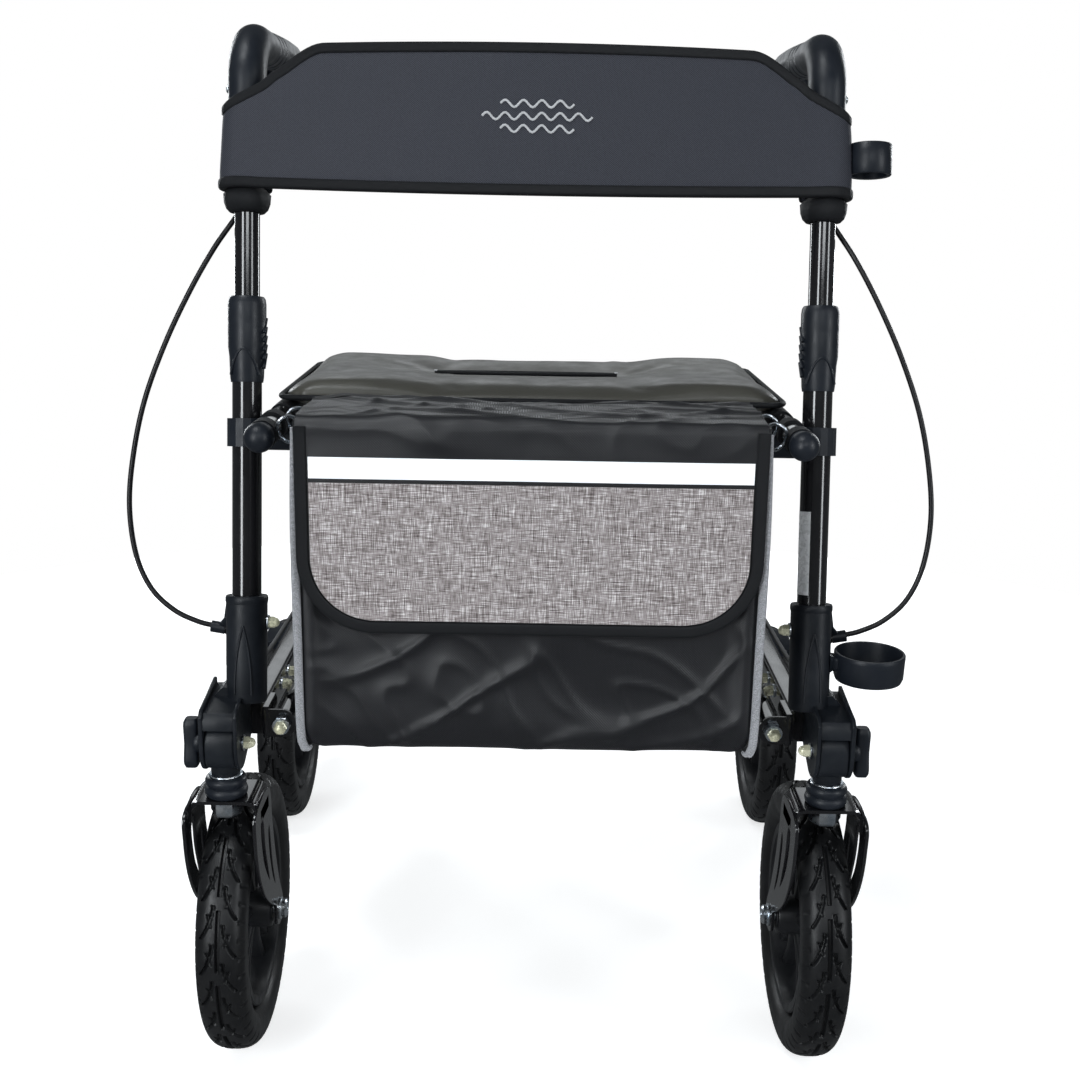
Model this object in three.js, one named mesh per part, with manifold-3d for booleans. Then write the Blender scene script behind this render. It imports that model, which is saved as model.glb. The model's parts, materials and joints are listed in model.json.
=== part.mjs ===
// Folding rollator walker: two side frames joined by a scissor brace that carries a folding seat,
// with swivelling front wheels, braked rear wheels, height-adjustable handles, a backrest belt,
// a front bag, and a cane ring and cup on the user's right-hand post.
// Millimetres, +Z up, origin on the floor at the middle of the wheel footprint, front towards -Y.
import * as THREE from 'three';
import { mergeVertices } from 'three/addons/utils/BufferGeometryUtils.js';
import Module from 'manifold-3d';

// ---- Driving dimensions -------------------------------------------------------------------------

const gap = 0.3; // clearance between touching pieces
const tubeSides = 16; // facets round a frame tube and what fits on it
const wheelSides = 32; // facets round a tyre and the rim inside it
const pinSides = 12; // facets round a pin, bolt or hub
const wheel = { radius: 125, tyreWidth: 44, rimRadius: 88, hubRadius: 17, hubWidth: 52, bore: 5.3 };
const wheelbase = 488;
const frontAxleY = -wheelbase / 2;
const rearAxleY = wheelbase / 2;
const frontWheelX = 261;
const rearWheelX = 302;
const trail = 62; // the caster's steering axis is this far ahead of the front axle
const steerY = frontAxleY - trail;

// The post leans back; its axis is measured by `t` along it from the mouth of the foot casting.
const post = { x: 245, y: frontAxleY - 25, z: 437, lean: 9.9, radius: 12.5, bore: 11, inner: 10.65 };
const socket = { radius: 17.5, bottom: -92, bore: 12.8, seat: -70.3 };
const collar = { bottom: 186, top: 256, radius: 16, skirt: 14.4 };
const handle = { lowEnd: 100, z: 901, rearY: frontAxleY + 290, bendRadius: 42, coverRadius: 16 };
const gripLength = 168;
const sleeve = { bottom: 332, top: 421, radius: 17 };

const bolt = { y: steerY, z: 316, radius: 4 }; // clamps the caster knuckle in the foot casting
const knuckle = { inner: 249, outer: 274, radius: 20 };
const casting = { inner: 245.5, outer: 278, front: 22, rear: frontAxleY - 22, top: 355 };
const fork = { crownZ: 265, sheet: 3, halfGap: 28.5, front: -28, rear: 28 };
const boot = { bottom: 268.3, top: 287, radius: 18 };

// Scissor brace: lower pivots on the side frames, upper ends carry the seat rails.
const brace = { x: 217, lowZ: 321, highZ: 588, tube: 9, strutHeight: 20, strutDepth: 9, pin: 5 };
const rail = { radius: 10, front: frontAxleY - 92, rear: frontAxleY + 302, ball: 12 };
const strutY = {
  aFront: frontAxleY + 14, bFront: frontAxleY + 25, bRear: frontAxleY + 262, aRear: frontAxleY + 273,
};
const lugY = { front: frontAxleY - 30, rear: frontAxleY + 300, thickness: 4 };
const sideBar = { inner: 233, outer: 252, bottom: 308, top: 338, frontY: frontAxleY - 21.7 };

// Each seat half reaches `inner` from its rail towards the middle, which keeps the halves apart as they fold.
const seat = { inner: 177, outer: 224, front: frontAxleY + 38, rear: frontAxleY + 258, bottom: 598.6, top: 607 };
const bag = { halfWidth: 189, front: frontAxleY - 110, back: frontAxleY - 19, bottom: 325, top: 604, wall: 3 };
const flap = { halfWidth: 185, bottom: 435, thickness: 3 };
const belt = { halfWidth: 226, bow: 34, thickness: 10, low: 351, high: 455, shoulder: 438, end: 420 };

const brakePivot = { angle: 140, reach: 150 };
const brakeShoe = { angle: 112, gap: 3.2, thickness: 12, length: 34 };

const ring = { x: 283, t: 380, outer: 18.5, inner: 14.5, height: 26 };
const cup = { x: 297, y: frontAxleY - 33, top: 397, bottom: 371, outer: 30.5, wall: 2.5 };

const cable = { radius: 2.3, sides: 8 };
const cableRoute = [
  [238, 86, 862], [239, 74, 842], [241, 66, 808], [246, 58, 778], [257, 47, 757], [276, 38, 729],
  [297, 30, 692], [318, 22, 648], [336, 15, 600], [347, 10, 552], [351.5, 6, 508], [347, 2, 466],
  [334, -2, 436], [314, -5, 417], [293, -6, 407], [276, -3, 401], [265, 8, 388], [259, 28, 366],
  [256.5, 56, 349], [256, 100, 340], [256, 160, 336], [256, 230, 334], [256, 300, 330],
  [256, 338, 316], [257, 354, 292], [258, 360, 268],
].map(([x, y, z]) => new THREE.Vector3(x, frontAxleY + y, z));

// ---- Materials ----------------------------------------------------------------------------------

const finish = (color, roughness, metalness = 0) => () =>
  new THREE.MeshStandardMaterial({ color, roughness, metalness });

const glossBlack = finish(0x0b0b0d, 0.16, 0.3);
const matteBlack = finish(0x14161a, 0.55);
const darkPlastic = finish(0x1c2026, 0.5);
const zinc = finish(0xb9c0c8, 0.3, 0.9);
const tyreRubber = finish(0x141516, 0.75);
const vinyl = finish(0x4e4d48, 0.45);
const nylon = finish(0x1b1b1f, 0.8);
const linen = finish(0x8f8886, 0.9);
const twill = finish(0x3a3b40, 0.85);

// ---- Geometry helpers ---------------------------------------------------------------------------

const wasm = await Module();
wasm.setup();

function toSolid(geometry) {
  const plain = geometry.clone();
  plain.deleteAttribute('normal');
  plain.deleteAttribute('uv');
  const welded = mergeVertices(plain, 1e-4);
  return new wasm.Manifold(new wasm.Mesh({
    numProp: 3,
    vertProperties: new Float32Array(welded.attributes.position.array),
    triVerts: new Uint32Array(welded.index.array),
  }));
}

function toGeometry(solid) {
  const { vertProperties, triVerts } = solid.getMesh();
  const geometry = new THREE.BufferGeometry();
  geometry.setAttribute('position', new THREE.BufferAttribute(new Float32Array(vertProperties), 3));
  geometry.setIndex(new THREE.BufferAttribute(new Uint32Array(triVerts), 1));
  geometry.computeVertexNormals();
  return geometry;
}

const join = (...pieces) => toGeometry(pieces.map(toSolid).reduce((a, b) => a.add(b)));
const cut = (piece, ...tools) => toGeometry([piece, ...tools].map(toSolid).reduce((a, b) => a.subtract(b)));
const common = (a, b) => toGeometry(toSolid(a).intersect(toSolid(b)));

function box(x0, x1, y0, y1, z0, z1) {
  return new THREE.BoxGeometry(x1 - x0, y1 - y0, z1 - z0).translate((x0 + x1) / 2, (y0 + y1) / 2, (z0 + z1) / 2);
}

// A solid rod along X, Y or Z; `at` gives its two other coordinates in X, Y, Z order.
function rod(axis, radius, from, to, at, sides = pinSides) {
  const shape = new THREE.CylinderGeometry(radius, radius, to - from, sides).translate(0, (from + to) / 2, 0);
  if (axis === 'x') return shape.rotateZ(-Math.PI / 2).translate(0, at[0], at[1]);
  if (axis === 'y') return shape.translate(at[0], 0, at[1]);
  return shape.rotateX(Math.PI / 2).translate(at[0], at[1], 0);
}

// A body of revolution about Z from [radius, height] pairs; a ring repeats its first pair at the end.
function lathe(pairs, sides) {
  const profile = pairs.map(([r, h]) => new THREE.Vector2(r, h));
  return new THREE.LatheGeometry(profile, sides).rotateX(Math.PI / 2);
}

const ringProfile = (inner, outer, low, high) =>
  [[inner, low], [outer, low], [outer, high], [inner, high], [inner, low]];

// A plate with its outline in the YZ plane, from x0 to x1.
function sidePlate(outline, x0, x1) {
  const shape = new THREE.Shape(outline.map(([y, z]) => new THREE.Vector2(y, z)));
  const plate = new THREE.ExtrudeGeometry(shape, { depth: x1 - x0, bevelEnabled: false });
  const yzToWorld = new THREE.Matrix4().set(0, 0, 1, x0, 1, 0, 0, 0, 0, 1, 0, 0, 0, 0, 0, 1);
  return plate.applyMatrix4(yzToWorld);
}

// Points of an arc in a plane, angles in degrees from the first axis.
function arc(centre, radius, from, to, steps) {
  return Array.from({ length: steps + 1 }, (_, i) => {
    const angle = THREE.MathUtils.degToRad(from + (to - from) * i / steps);
    return [centre[0] + radius * Math.cos(angle), centre[1] + radius * Math.sin(angle)];
  });
}

// A sweep path that puts one section at each of its stations.
class Route extends THREE.Curve {
  constructor(stations) {
    super();
    this.stations = stations;
  }

  index(u) {
    return Math.round(u * (this.stations.length - 1));
  }

  getPointAt(u) {
    return this.stations[this.index(u)].clone();
  }

  getTangentAt(u) {
    const i = this.index(u);
    const here = this.stations[i];
    const tangent = new THREE.Vector3();
    if (i > 0) tangent.add(here.clone().sub(this.stations[i - 1]).normalize());
    if (i < this.stations.length - 1) tangent.add(this.stations[i + 1].clone().sub(here).normalize());
    return tangent.normalize();
  }
}

// A three-point route whose middle corner is rounded.
function cornerRoute(a, corner, b, radius, steps) {
  const toA = a.clone().sub(corner).normalize();
  const toB = b.clone().sub(corner).normalize();
  const half = toA.angleTo(toB) / 2;
  const reach = radius / Math.tan(half);
  const centre = corner.clone().add(toA.clone().add(toB).normalize().multiplyScalar(radius / Math.sin(half)));
  const start = corner.clone().addScaledVector(toA, reach).sub(centre);
  const turn = new THREE.Vector3().crossVectors(toB, toA).normalize();
  const sweep = Math.PI - 2 * half;
  const bend = Array.from({ length: steps + 1 }, (_, i) =>
    start.clone().applyAxisAngle(turn, sweep * i / steps).add(centre));
  return [a, ...bend, b];
}

const circle = (radius, sides) => Array.from({ length: sides }, (_, i) => {
  const angle = 2 * Math.PI * i / sides;
  return new THREE.Vector2(radius * Math.cos(angle), radius * Math.sin(angle));
});

function sweep(stations, outline, hole) {
  const shape = new THREE.Shape(outline);
  if (hole) shape.holes.push(new THREE.Path(hole));
  const options = { steps: stations.length - 1, extrudePath: new Route(stations), bevelEnabled: false };
  return new THREE.ExtrudeGeometry(shape, options);
}

const postMatrix = new THREE.Matrix4()
  .makeTranslation(post.x, post.y, post.z)
  .multiply(new THREE.Matrix4().makeRotationX(-THREE.MathUtils.degToRad(post.lean)));

const onPost = (geometry) => geometry.applyMatrix4(postMatrix);
const postPoint = (t) => new THREE.Vector3(0, 0, t).applyMatrix4(postMatrix);

function piece(name, geometry, material) {
  const mesh = new THREE.Mesh(geometry, material());
  mesh.name = name;
  return mesh;
}

// ---- Side frame ---------------------------------------------------------------------------------

function postTube() {
  return onPost(lathe(ringProfile(post.bore, post.radius, socket.seat + gap, collar.top - 15), tubeSides));
}

// Socket for the post above a clevis that holds the caster knuckle.
function footCasting() {
  const socketBody = onPost(rod('z', socket.radius, socket.bottom, 0, [0, 0], tubeSides));
  const shoulder = casting.top - 3;
  const outline = [
    [steerY - casting.front, shoulder - 6],
    ...arc([bolt.y, bolt.z], casting.front, 180, 290, 8),
    [casting.rear, bolt.z - 6],
    [casting.rear, casting.top + 12],
    [steerY - casting.front + 30, casting.top],
    [steerY - casting.front + 6, shoulder],
  ];
  const block = sidePlate(outline, casting.inner, casting.outer);
  const slotRear = bolt.y + knuckle.radius + 1;
  const slotTop = bolt.z + knuckle.radius + 1;
  const slot = box(knuckle.inner - gap, knuckle.outer + gap, steerY - 60, slotRear, bolt.z - 60, slotTop);
  const postBore = onPost(rod('z', socket.bore, socket.seat, 60, [0, 0], tubeSides));
  const boltHole = rod('x', bolt.radius + gap, casting.inner - 20, casting.outer + 20, [bolt.y, bolt.z]);
  return cut(join(socketBody, block), slot, postBore, boltHole);
}

// Height collar: tapered skirt over the outer tube, throat over the sliding inner tube.
function heightCollar() {
  const throat = collar.top - 15 + gap;
  return onPost(lathe([
    [socket.bore, collar.bottom], [collar.skirt, collar.bottom], [collar.radius, collar.bottom + 28],
    [collar.radius, collar.top - 2], [collar.radius - 2, collar.top], [post.bore, collar.top],
    [post.bore, throat], [socket.bore, throat], [socket.bore, collar.bottom],
  ], tubeSides));
}

function wheelPoint(angle, reach) {
  const a = THREE.MathUtils.degToRad(angle);
  return [rearAxleY + reach * Math.cos(a), wheel.radius + reach * Math.sin(a)];
}

// Lower side bar bent down to the rear axle, with the brace lugs and the brake hanger.
function lowerFrame() {
  const width = sideBar.outer - sideBar.inner;
  const height = sideBar.top - sideBar.bottom;
  const midX = (sideBar.inner + sideBar.outer) / 2;
  const midZ = (sideBar.bottom + sideBar.top) / 2;
  const stations = cornerRoute(
    new THREE.Vector3(midX, sideBar.frontY, midZ),
    new THREE.Vector3(midX, rearAxleY - 12, midZ),
    new THREE.Vector3(midX, rearAxleY, wheel.radius),
    70, 6);
  const section = [[-1, -1], [1, -1], [1, 1], [-1, 1]]
    .map(([u, v]) => new THREE.Vector2(u * height / 2, v * width / 2));
  const bar = sweep(stations, section);
  const axleAt = [rearAxleY, wheel.radius];
  const wheelInner = rearWheelX - wheel.hubWidth / 2;
  const wheelOuter = rearWheelX + wheel.hubWidth / 2;
  const boss = rod('x', 17, sideBar.inner, wheelInner - 1, axleAt);
  const axle = rod('x', wheel.bore - gap, sideBar.outer, wheelOuter + 4, axleAt);
  const axleHead = rod('x', 9, wheelOuter + 1, wheelOuter + 7, axleAt, 6);
  const lug = (y) => cut(
    box(brace.x - 11, sideBar.inner + 1, y, y + lugY.thickness, brace.lowZ - 13, brace.lowZ + 14),
    rod('y', brace.pin + gap, y - 5, y + 10, [brace.x, brace.lowZ]));
  const flange = box(sideBar.inner - 4.5, sideBar.inner + 1.5, lugY.front, frontAxleY + 10, sideBar.bottom + 1, 335);
  const [pivotY, pivotZ] = wheelPoint(brakePivot.angle, brakePivot.reach);
  const hanger = sidePlate([
    [pivotY - 14, sideBar.bottom + 6], ...arc([pivotY, pivotZ], 12, 190, 350, 6), [pivotY + 26, sideBar.bottom + 6],
  ], sideBar.outer - 7, sideBar.outer);
  const brakePin = rod('x', 4, sideBar.outer - 4, sideBar.outer + 24, [pivotY, pivotZ]);
  return join(bar, boss, axle, axleHead, flange, lug(lugY.front), lug(lugY.rear), hanger, brakePin);
}

// Toothed cradle clamped on the post; the unfolded seat rail rests in it.
function railCradle() {
  const t = (576 - post.z) / Math.cos(THREE.MathUtils.degToRad(post.lean));
  const clamp = onPost(rod('z', 17, t - 12, t + 12, [0, 0], tubeSides));
  const centreY = postPoint(t).y;
  const saddle = sidePlate([
    [centreY - 11, 586], [centreY - 11, 572], [centreY - 5, 562], [centreY + 5, 562],
    [centreY + 11, 572], [centreY + 11, 586],
  ], brace.x - 13, post.x);
  const groove = rod('y', rail.radius + gap + 0.2, centreY - 40, centreY + 40, [brace.x, brace.highZ], pinSides);
  const postBore = onPost(rod('z', socket.bore, t - 40, t + 40, [0, 0], tubeSides));
  const relief = box(brace.x, sideBar.inner - 4, centreY - 40, centreY + 40, brace.highZ - 6, 620);
  return cut(join(clamp, saddle), groove, postBore, relief);
}

// ---- Caster and wheels --------------------------------------------------------------------------

function casterKnuckle() {
  const barrel = rod('x', knuckle.radius, knuckle.inner, knuckle.outer, [bolt.y, bolt.z], tubeSides);
  const neck = rod('z', 12, boot.top + gap, bolt.z, [frontWheelX, steerY]);
  const boltHole = rod('x', bolt.radius + gap, knuckle.inner - 9, knuckle.outer + 9, [bolt.y, bolt.z]);
  const stemHole = rod('z', 6 + gap, boot.top - 9, boot.top + 11, [frontWheelX, steerY]);
  return cut(join(barrel, neck), boltHole, stemHole);
}

function knuckleBolt() {
  const at = [bolt.y, bolt.z];
  const dome = new THREE.SphereGeometry(6.4, 10, 6).translate(casting.inner - 7, bolt.y, bolt.z);
  const shank = rod('x', bolt.radius, casting.inner - 6, casting.outer + 9, at);
  return join(shank, rod('x', 8, casting.inner - 7, casting.inner - gap, at, 6), dome);
}

function wingKnob() {
  const face = casting.outer + gap;
  const hub = rod('x', 8.5, face, face + 12, [bolt.y, bolt.z]);
  const [halfTall, halfWide] = [21.5, 6.5];
  const wing = sidePlate([
    ...arc([bolt.y, bolt.z + halfTall - halfWide], halfWide, 0, 180, 5),
    ...arc([bolt.y, bolt.z - halfTall + halfWide], halfWide, 180, 360, 5),
  ], face + 4, face + 17);
  return cut(join(hub, wing), rod('x', bolt.radius + gap, face - 5, face + 10, [bolt.y, bolt.z]));
}

// Bent sheet fork: crown plate, two swept-back arms and the steering stem.
function casterFork() {
  const crownTop = fork.crownZ + fork.sheet;
  const outerX = fork.halfGap + fork.sheet;
  const crown = box(frontWheelX - outerX, frontWheelX + outerX, steerY + fork.front, steerY + fork.rear,
    fork.crownZ, crownTop);
  const outline = [
    [steerY + fork.rear, crownTop],
    [steerY + fork.front, crownTop],
    [steerY + fork.front - 4, crownTop - 26],
    [steerY + fork.front + 14, crownTop - 72],
    ...arc([frontAxleY, wheel.radius], 14, 200, 395, 10),
    [steerY + fork.rear + 22, crownTop - 60],
    [steerY + fork.rear + 6, crownTop - 26],
  ];
  const arm = (x) => sidePlate(outline, x, x + fork.sheet);
  const stem = rod('z', 6, fork.crownZ - 8, boot.top + 9, [frontWheelX, steerY]);
  const axleHole = rod('x', wheel.bore, frontWheelX - 60, frontWheelX + 60, [frontAxleY, wheel.radius]);
  const arms = [frontWheelX - outerX, frontWheelX + fork.halfGap].map(arm);
  return cut(join(crown, stem, ...arms), axleHole);
}

// Dust boot over the steering bearing, with two bulges.
function bearingBoot() {
  const { bottom, top, radius } = boot;
  const middle = (bottom + top) / 2;
  return lathe([
    [6 + gap, bottom], [radius - 2, bottom], [radius, bottom + 5], [radius - 3, middle],
    [radius - 1, top - 5], [radius - 4, top],
    [6 + gap, top], [6 + gap, bottom],
  ], pinSides).translate(frontWheelX, steerY, 0);
}

function frontAxle() {
  const outer = fork.halfGap + fork.sheet + gap;
  const at = [frontAxleY, wheel.radius];
  return join(
    rod('x', wheel.bore - gap, frontWheelX - outer - 3, frontWheelX + outer + 3, at),
    rod('x', 9, frontWheelX - outer - 7, frontWheelX - outer, at, 6),
    rod('x', 9, frontWheelX + outer, frontWheelX + outer + 7, at, 6));
}

// Turns a wheel part from its lathe axis to the axle's, with a flat facet of the tread on the floor.
const onAxle = (geometry) => geometry.rotateZ(Math.PI / wheelSides).rotateY(Math.PI / 2);

// Moulded rim: wide hub and rim ring joined by a web that is cut into spokes.
function wheelRim() {
  const { bore, hubRadius, hubWidth } = wheel;
  const rimOuter = wheel.rimRadius - gap;
  const rimInner = rimOuter - 10;
  const [hub, ringHalf, web] = [hubWidth / 2, 17, 7];
  const body = lathe([
    [bore, -hub], [hubRadius, -hub], [hubRadius + 5, -web], [rimInner, -web], [rimOuter, -ringHalf],
    [rimOuter, ringHalf], [rimInner, web], [hubRadius + 5, web], [hubRadius, hub], [bore, hub], [bore, -hub],
  ], wheelSides);
  const spokes = 6;
  const window = (i) => {
    const mid = 360 * i / spokes;
    const outline = [
      ...arc([0, 0], rimInner - 4, mid - 21, mid + 21, 3),
      ...arc([0, 0], hubRadius + 10, mid + 10, mid - 10, 1),
    ].map(([u, v]) => new THREE.Vector2(u, v));
    return new THREE.ExtrudeGeometry(new THREE.Shape(outline), { depth: 40, bevelEnabled: false })
      .translate(0, 0, -20);
  };
  return onAxle(cut(body, ...Array.from({ length: spokes }, (_, i) => window(i))));
}

function tyre() {
  const { rimRadius } = wheel;
  const radius = wheel.radius / Math.cos(Math.PI / wheelSides); // to the corners between facets
  const half = wheel.tyreWidth / 2;
  return onAxle(lathe([
    [rimRadius, -15], [rimRadius + 18, -half], [radius - 6, -half + 5], [radius, -6],
    [radius, 6], [radius - 6, half - 5], [rimRadius + 18, half], [rimRadius, 15], [rimRadius, -15],
  ], wheelSides));
}

// Brake arm on the hanger's pin, its shoe standing just off the tread.
function brakeArm() {
  const [pivotY, pivotZ] = wheelPoint(brakePivot.angle, brakePivot.reach);
  const inner = sideBar.outer + gap;
  const shoeLow = wheel.radius + brakeShoe.gap;
  const span = THREE.MathUtils.radToDeg(brakeShoe.length / shoeLow) / 2;
  const shoeCentre = [rearAxleY, wheel.radius];
  const shoe = sidePlate([
    ...arc(shoeCentre, shoeLow, brakeShoe.angle - span, brakeShoe.angle + span, 4),
    ...arc(shoeCentre, shoeLow + brakeShoe.thickness, brakeShoe.angle + span, brakeShoe.angle - span, 4),
  ], inner + 4, rearWheelX + 16);
  const [shoeY, shoeZ] = wheelPoint(brakeShoe.angle, shoeLow + brakeShoe.thickness / 2);
  const armPlate = sidePlate([
    [pivotY - 3, pivotZ - 9], [pivotY + 6, pivotZ - 8], [shoeY + 2, shoeZ - 4], [shoeY - 2, shoeZ + 5],
    [pivotY, pivotZ + 10], [pivotY - 16, pivotZ + 34], [pivotY - 25, pivotZ + 30], [pivotY - 9, pivotZ + 3],
  ], inner + 4, inner + 11);
  const hub = rod('x', 9, inner, inner + 20, [pivotY, pivotZ]);
  return cut(join(hub, armPlate, shoe), rod('x', 4 + gap, inner - 9, inner + 40, [pivotY, pivotZ]));
}

// ---- Handle -------------------------------------------------------------------------------------

function handleStations(from, rearY) {
  const lean = THREE.MathUtils.degToRad(post.lean);
  const corner = postPoint((handle.z - post.z) / Math.cos(lean));
  const rear = new THREE.Vector3(post.x, rearY, handle.z);
  return cornerRoute(postPoint(from), corner, rear, handle.bendRadius, 5);
}

const gripFrontY = handle.rearY - gripLength;

function handleTube() {
  const wall = 1.5;
  const stations = handleStations(handle.lowEnd, handle.rearY - 6);
  return sweep(stations, circle(post.inner, tubeSides), circle(post.inner - wall, tubeSides));
}

const lever = { y: frontAxleY + 97, z: 872 };

// Plastic cover over the bend, with the bracket and pin of the brake lever.
function bendCover() {
  const stations = handleStations(sleeve.top + 3, gripFrontY - 1);
  const cover = sweep(stations, circle(handle.coverRadius, tubeSides));
  const bracket = sidePlate([
    [lever.y - 20, handle.z - 6], [lever.y - 12, lever.z - 4], ...arc([lever.y, lever.z], 8, 200, 340, 5),
    [lever.y + 14, handle.z - 6],
  ], post.x - 5, post.x + 5);
  const pin = rod('x', 3.5, post.x - 16, post.x, [lever.y, lever.z]);
  const first = stations[0];
  const bore = sweep([postPoint(sleeve.top - 9), ...stations.slice(1, -1), new THREE.Vector3(first.x, 60, handle.z)],
    circle(post.inner + 0.4, tubeSides));
  return cut(join(cover, bracket, pin), bore);
}

function grip() {
  const bore = post.inner + 0.35;
  const closed = gripLength - 5;
  return lathe([
    [0, closed], [bore, closed], [bore, 0], [15, 0], [16, 4], [16.4, 62], [15.4, 96],
    [16, 158], [13, gripLength], [0, gripLength],
  ], tubeSides).rotateX(-Math.PI / 2).translate(post.x, gripFrontY, handle.z);
}

function brakeLever() {
  const hubInner = post.x - 14;
  const hub = rod('x', 8, hubInner, post.x - 5 - gap, [lever.y, lever.z]);
  const midX = hubInner + 2.4;
  const bar = sweep([
    new THREE.Vector3(midX, lever.y + 3, lever.z - 2),
    new THREE.Vector3(midX, lever.y + 24, lever.z - 9),
    new THREE.Vector3(post.x - 2, lever.y + 48, lever.z - 14),
    new THREE.Vector3(post.x, lever.y + 90, lever.z - 15),
    new THREE.Vector3(post.x, lever.y + 140, lever.z - 15),
    new THREE.Vector3(post.x, lever.y + 168, lever.z - 18),
  ], circle(6, 10));
  return cut(join(hub, bar), rod('x', 3.5 + gap, hubInner - 9, post.x + 5, [lever.y, lever.z]));
}

function beltSleeve() {
  return onPost(lathe(ringProfile(post.inner + 0.5, sleeve.radius, sleeve.bottom, sleeve.top), tubeSides));
}

function brakeCable() {
  const spline = new THREE.CatmullRomCurve3(cableRoute, false, 'centripetal');
  return sweep(spline.getSpacedPoints(46), circle(cable.radius, cable.sides));
}

// One side frame, built for the +X side and mirrored for the other.
function side(prefix, sign) {
  const group = new THREE.Group();
  group.scale.x = sign;
  const add = (name, geometry, material) => {
    const mesh = piece(`${prefix}_${name}`, geometry, material);
    group.add(mesh);
    return mesh;
  };
  add('post_tube', postTube(), glossBlack);
  add('foot_casting', footCasting(), matteBlack);
  add('height_collar', heightCollar(), darkPlastic);
  add('lower_frame', lowerFrame(), glossBlack);
  add('rail_cradle', railCradle(), darkPlastic);
  add('caster_knuckle', casterKnuckle(), matteBlack);
  add('knuckle_bolt', knuckleBolt(), zinc);
  add('wing_knob', wingKnob(), darkPlastic);
  add('caster_fork', casterFork(), glossBlack);
  add('bearing_boot', bearingBoot(), darkPlastic);
  add('front_axle', frontAxle(), zinc);
  add('front_rim', wheelRim(), darkPlastic).position.set(frontWheelX, frontAxleY, wheel.radius);
  add('front_tyre', tyre(), tyreRubber).position.set(frontWheelX, frontAxleY, wheel.radius);
  add('rear_rim', wheelRim(), darkPlastic).position.set(rearWheelX, rearAxleY, wheel.radius);
  add('rear_tyre', tyre(), tyreRubber).position.set(rearWheelX, rearAxleY, wheel.radius);
  add('brake_arm', brakeArm(), darkPlastic);
  add('handle_tube', handleTube(), glossBlack);
  add('bend_cover', bendCover(), darkPlastic);
  add('hand_grip', grip(), darkPlastic);
  add('brake_lever', brakeLever(), darkPlastic);
  add('belt_sleeve', beltSleeve(), twill);
  add('brake_cable', brakeCable(), matteBlack);
  return group;
}

// ---- Scissor brace and seat ---------------------------------------------------------------------

// Lower tube that turns on the side frame's lugs, with a bolt through each lug.
function pivotTube(x) {
  const at = [x, brace.lowZ];
  const [front, rear] = [lugY.front + lugY.thickness + gap, lugY.rear - gap];
  const frontHead = lugY.front - gap;
  const rearHead = lugY.rear + lugY.thickness + gap;
  return join(
    rod('y', brace.tube, front, rear, at),
    rod('y', brace.pin, frontHead - 5, rearHead + 5, at),
    rod('y', 8, frontHead - 6, frontHead, at, 6),
    rod('y', 8, rearHead, rearHead + 6, at, 6));
}

// A strut from the lower pivot at -sign to the rail at +sign; `head` adds the centre pin that way.
function strut(sign, y, head) {
  const low = new THREE.Vector3(-sign * brace.x, 0, brace.lowZ);
  const high = new THREE.Vector3(sign * brace.x, 0, brace.highZ);
  const length = low.distanceTo(high);
  const slope = Math.atan2(high.z - low.z, high.x - low.x);
  const bar = new THREE.BoxGeometry(length - 4, brace.strutDepth, brace.strutHeight)
    .rotateY(-slope)
    .translate(0, y + brace.strutDepth / 2, (low.z + high.z) / 2);
  const ends = [
    rod('y', brace.tube + gap, y - 9, y + 20, [low.x, low.z]),
    rod('y', rail.radius + gap, y - 9, y + 20, [high.x, high.z]),
  ];
  const trimmed = cut(bar, ...ends);
  const centre = [0, (low.z + high.z) / 2];
  if (!head) return cut(trimmed, rod('y', brace.pin + gap, y - 9, y + 20, centre));
  const reach = brace.strutDepth + 2 + gap; // across the mating strut and the space before it
  const face = head < 0 ? y - reach : y + brace.strutDepth + reach;
  const [pinFrom, pinTo] = head < 0 ? [face - 2, y + 2] : [y + brace.strutDepth - 2, face + 2];
  const [capFrom, capTo] = head < 0 ? [face - 4, face] : [face, face + 4];
  return join(trimmed, rod('y', brace.pin, pinFrom, pinTo, centre), rod('y', 8.5, capFrom, capTo, centre, 6));
}

function seatRail(x) {
  const ball = new THREE.SphereGeometry(rail.ball, 12, 8).translate(x, rail.front, brace.highZ);
  return join(rod('y', rail.radius, rail.front, rail.rear, [x, brace.highZ]), ball);
}

// Half of the padded seat: it lies on its rail and thins towards the middle.
function seatPad(sign) {
  const { inner, outer, front, rear, bottom, top } = seat;
  const middle = brace.x - inner;
  const outline = [
    [outer, bottom], [outer + 1, bottom + 4], [outer - 3, top], [outer - 60, top + 1], [middle + 40, top - 2],
    [middle, top - 5], [middle, bottom - 5], [middle + 40, bottom - 2], [brace.x - 16, bottom - 2],
    [brace.x - 10, bottom],
  ].map(([x, z]) => new THREE.Vector2(sign * x, z));
  const shape = new THREE.Shape(outline);
  return new THREE.ExtrudeGeometry(shape, { depth: rear - front, bevelEnabled: false })
    .rotateX(Math.PI / 2)
    .translate(0, rear, 0);
}

// ---- Bag and backrest ---------------------------------------------------------------------------

function roundedBox(halfWidth, front, back, bottom, top, radius) {
  const shape = new THREE.Shape();
  const [width, depth] = [halfWidth, (back - front) / 2];
  shape.moveTo(-width + radius, -depth);
  shape.lineTo(width - radius, -depth);
  shape.absarc(width - radius, -depth + radius, radius, -Math.PI / 2, 0);
  shape.absarc(width - radius, depth - radius, radius, 0, Math.PI / 2);
  shape.absarc(-width + radius, depth - radius, radius, Math.PI / 2, Math.PI);
  shape.absarc(-width + radius, -depth + radius, radius, Math.PI, 1.5 * Math.PI);
  return new THREE.ExtrudeGeometry(shape, { depth: top - bottom, bevelEnabled: false, curveSegments: 4 })
    .translate(0, (front + back) / 2, bottom);
}

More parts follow.
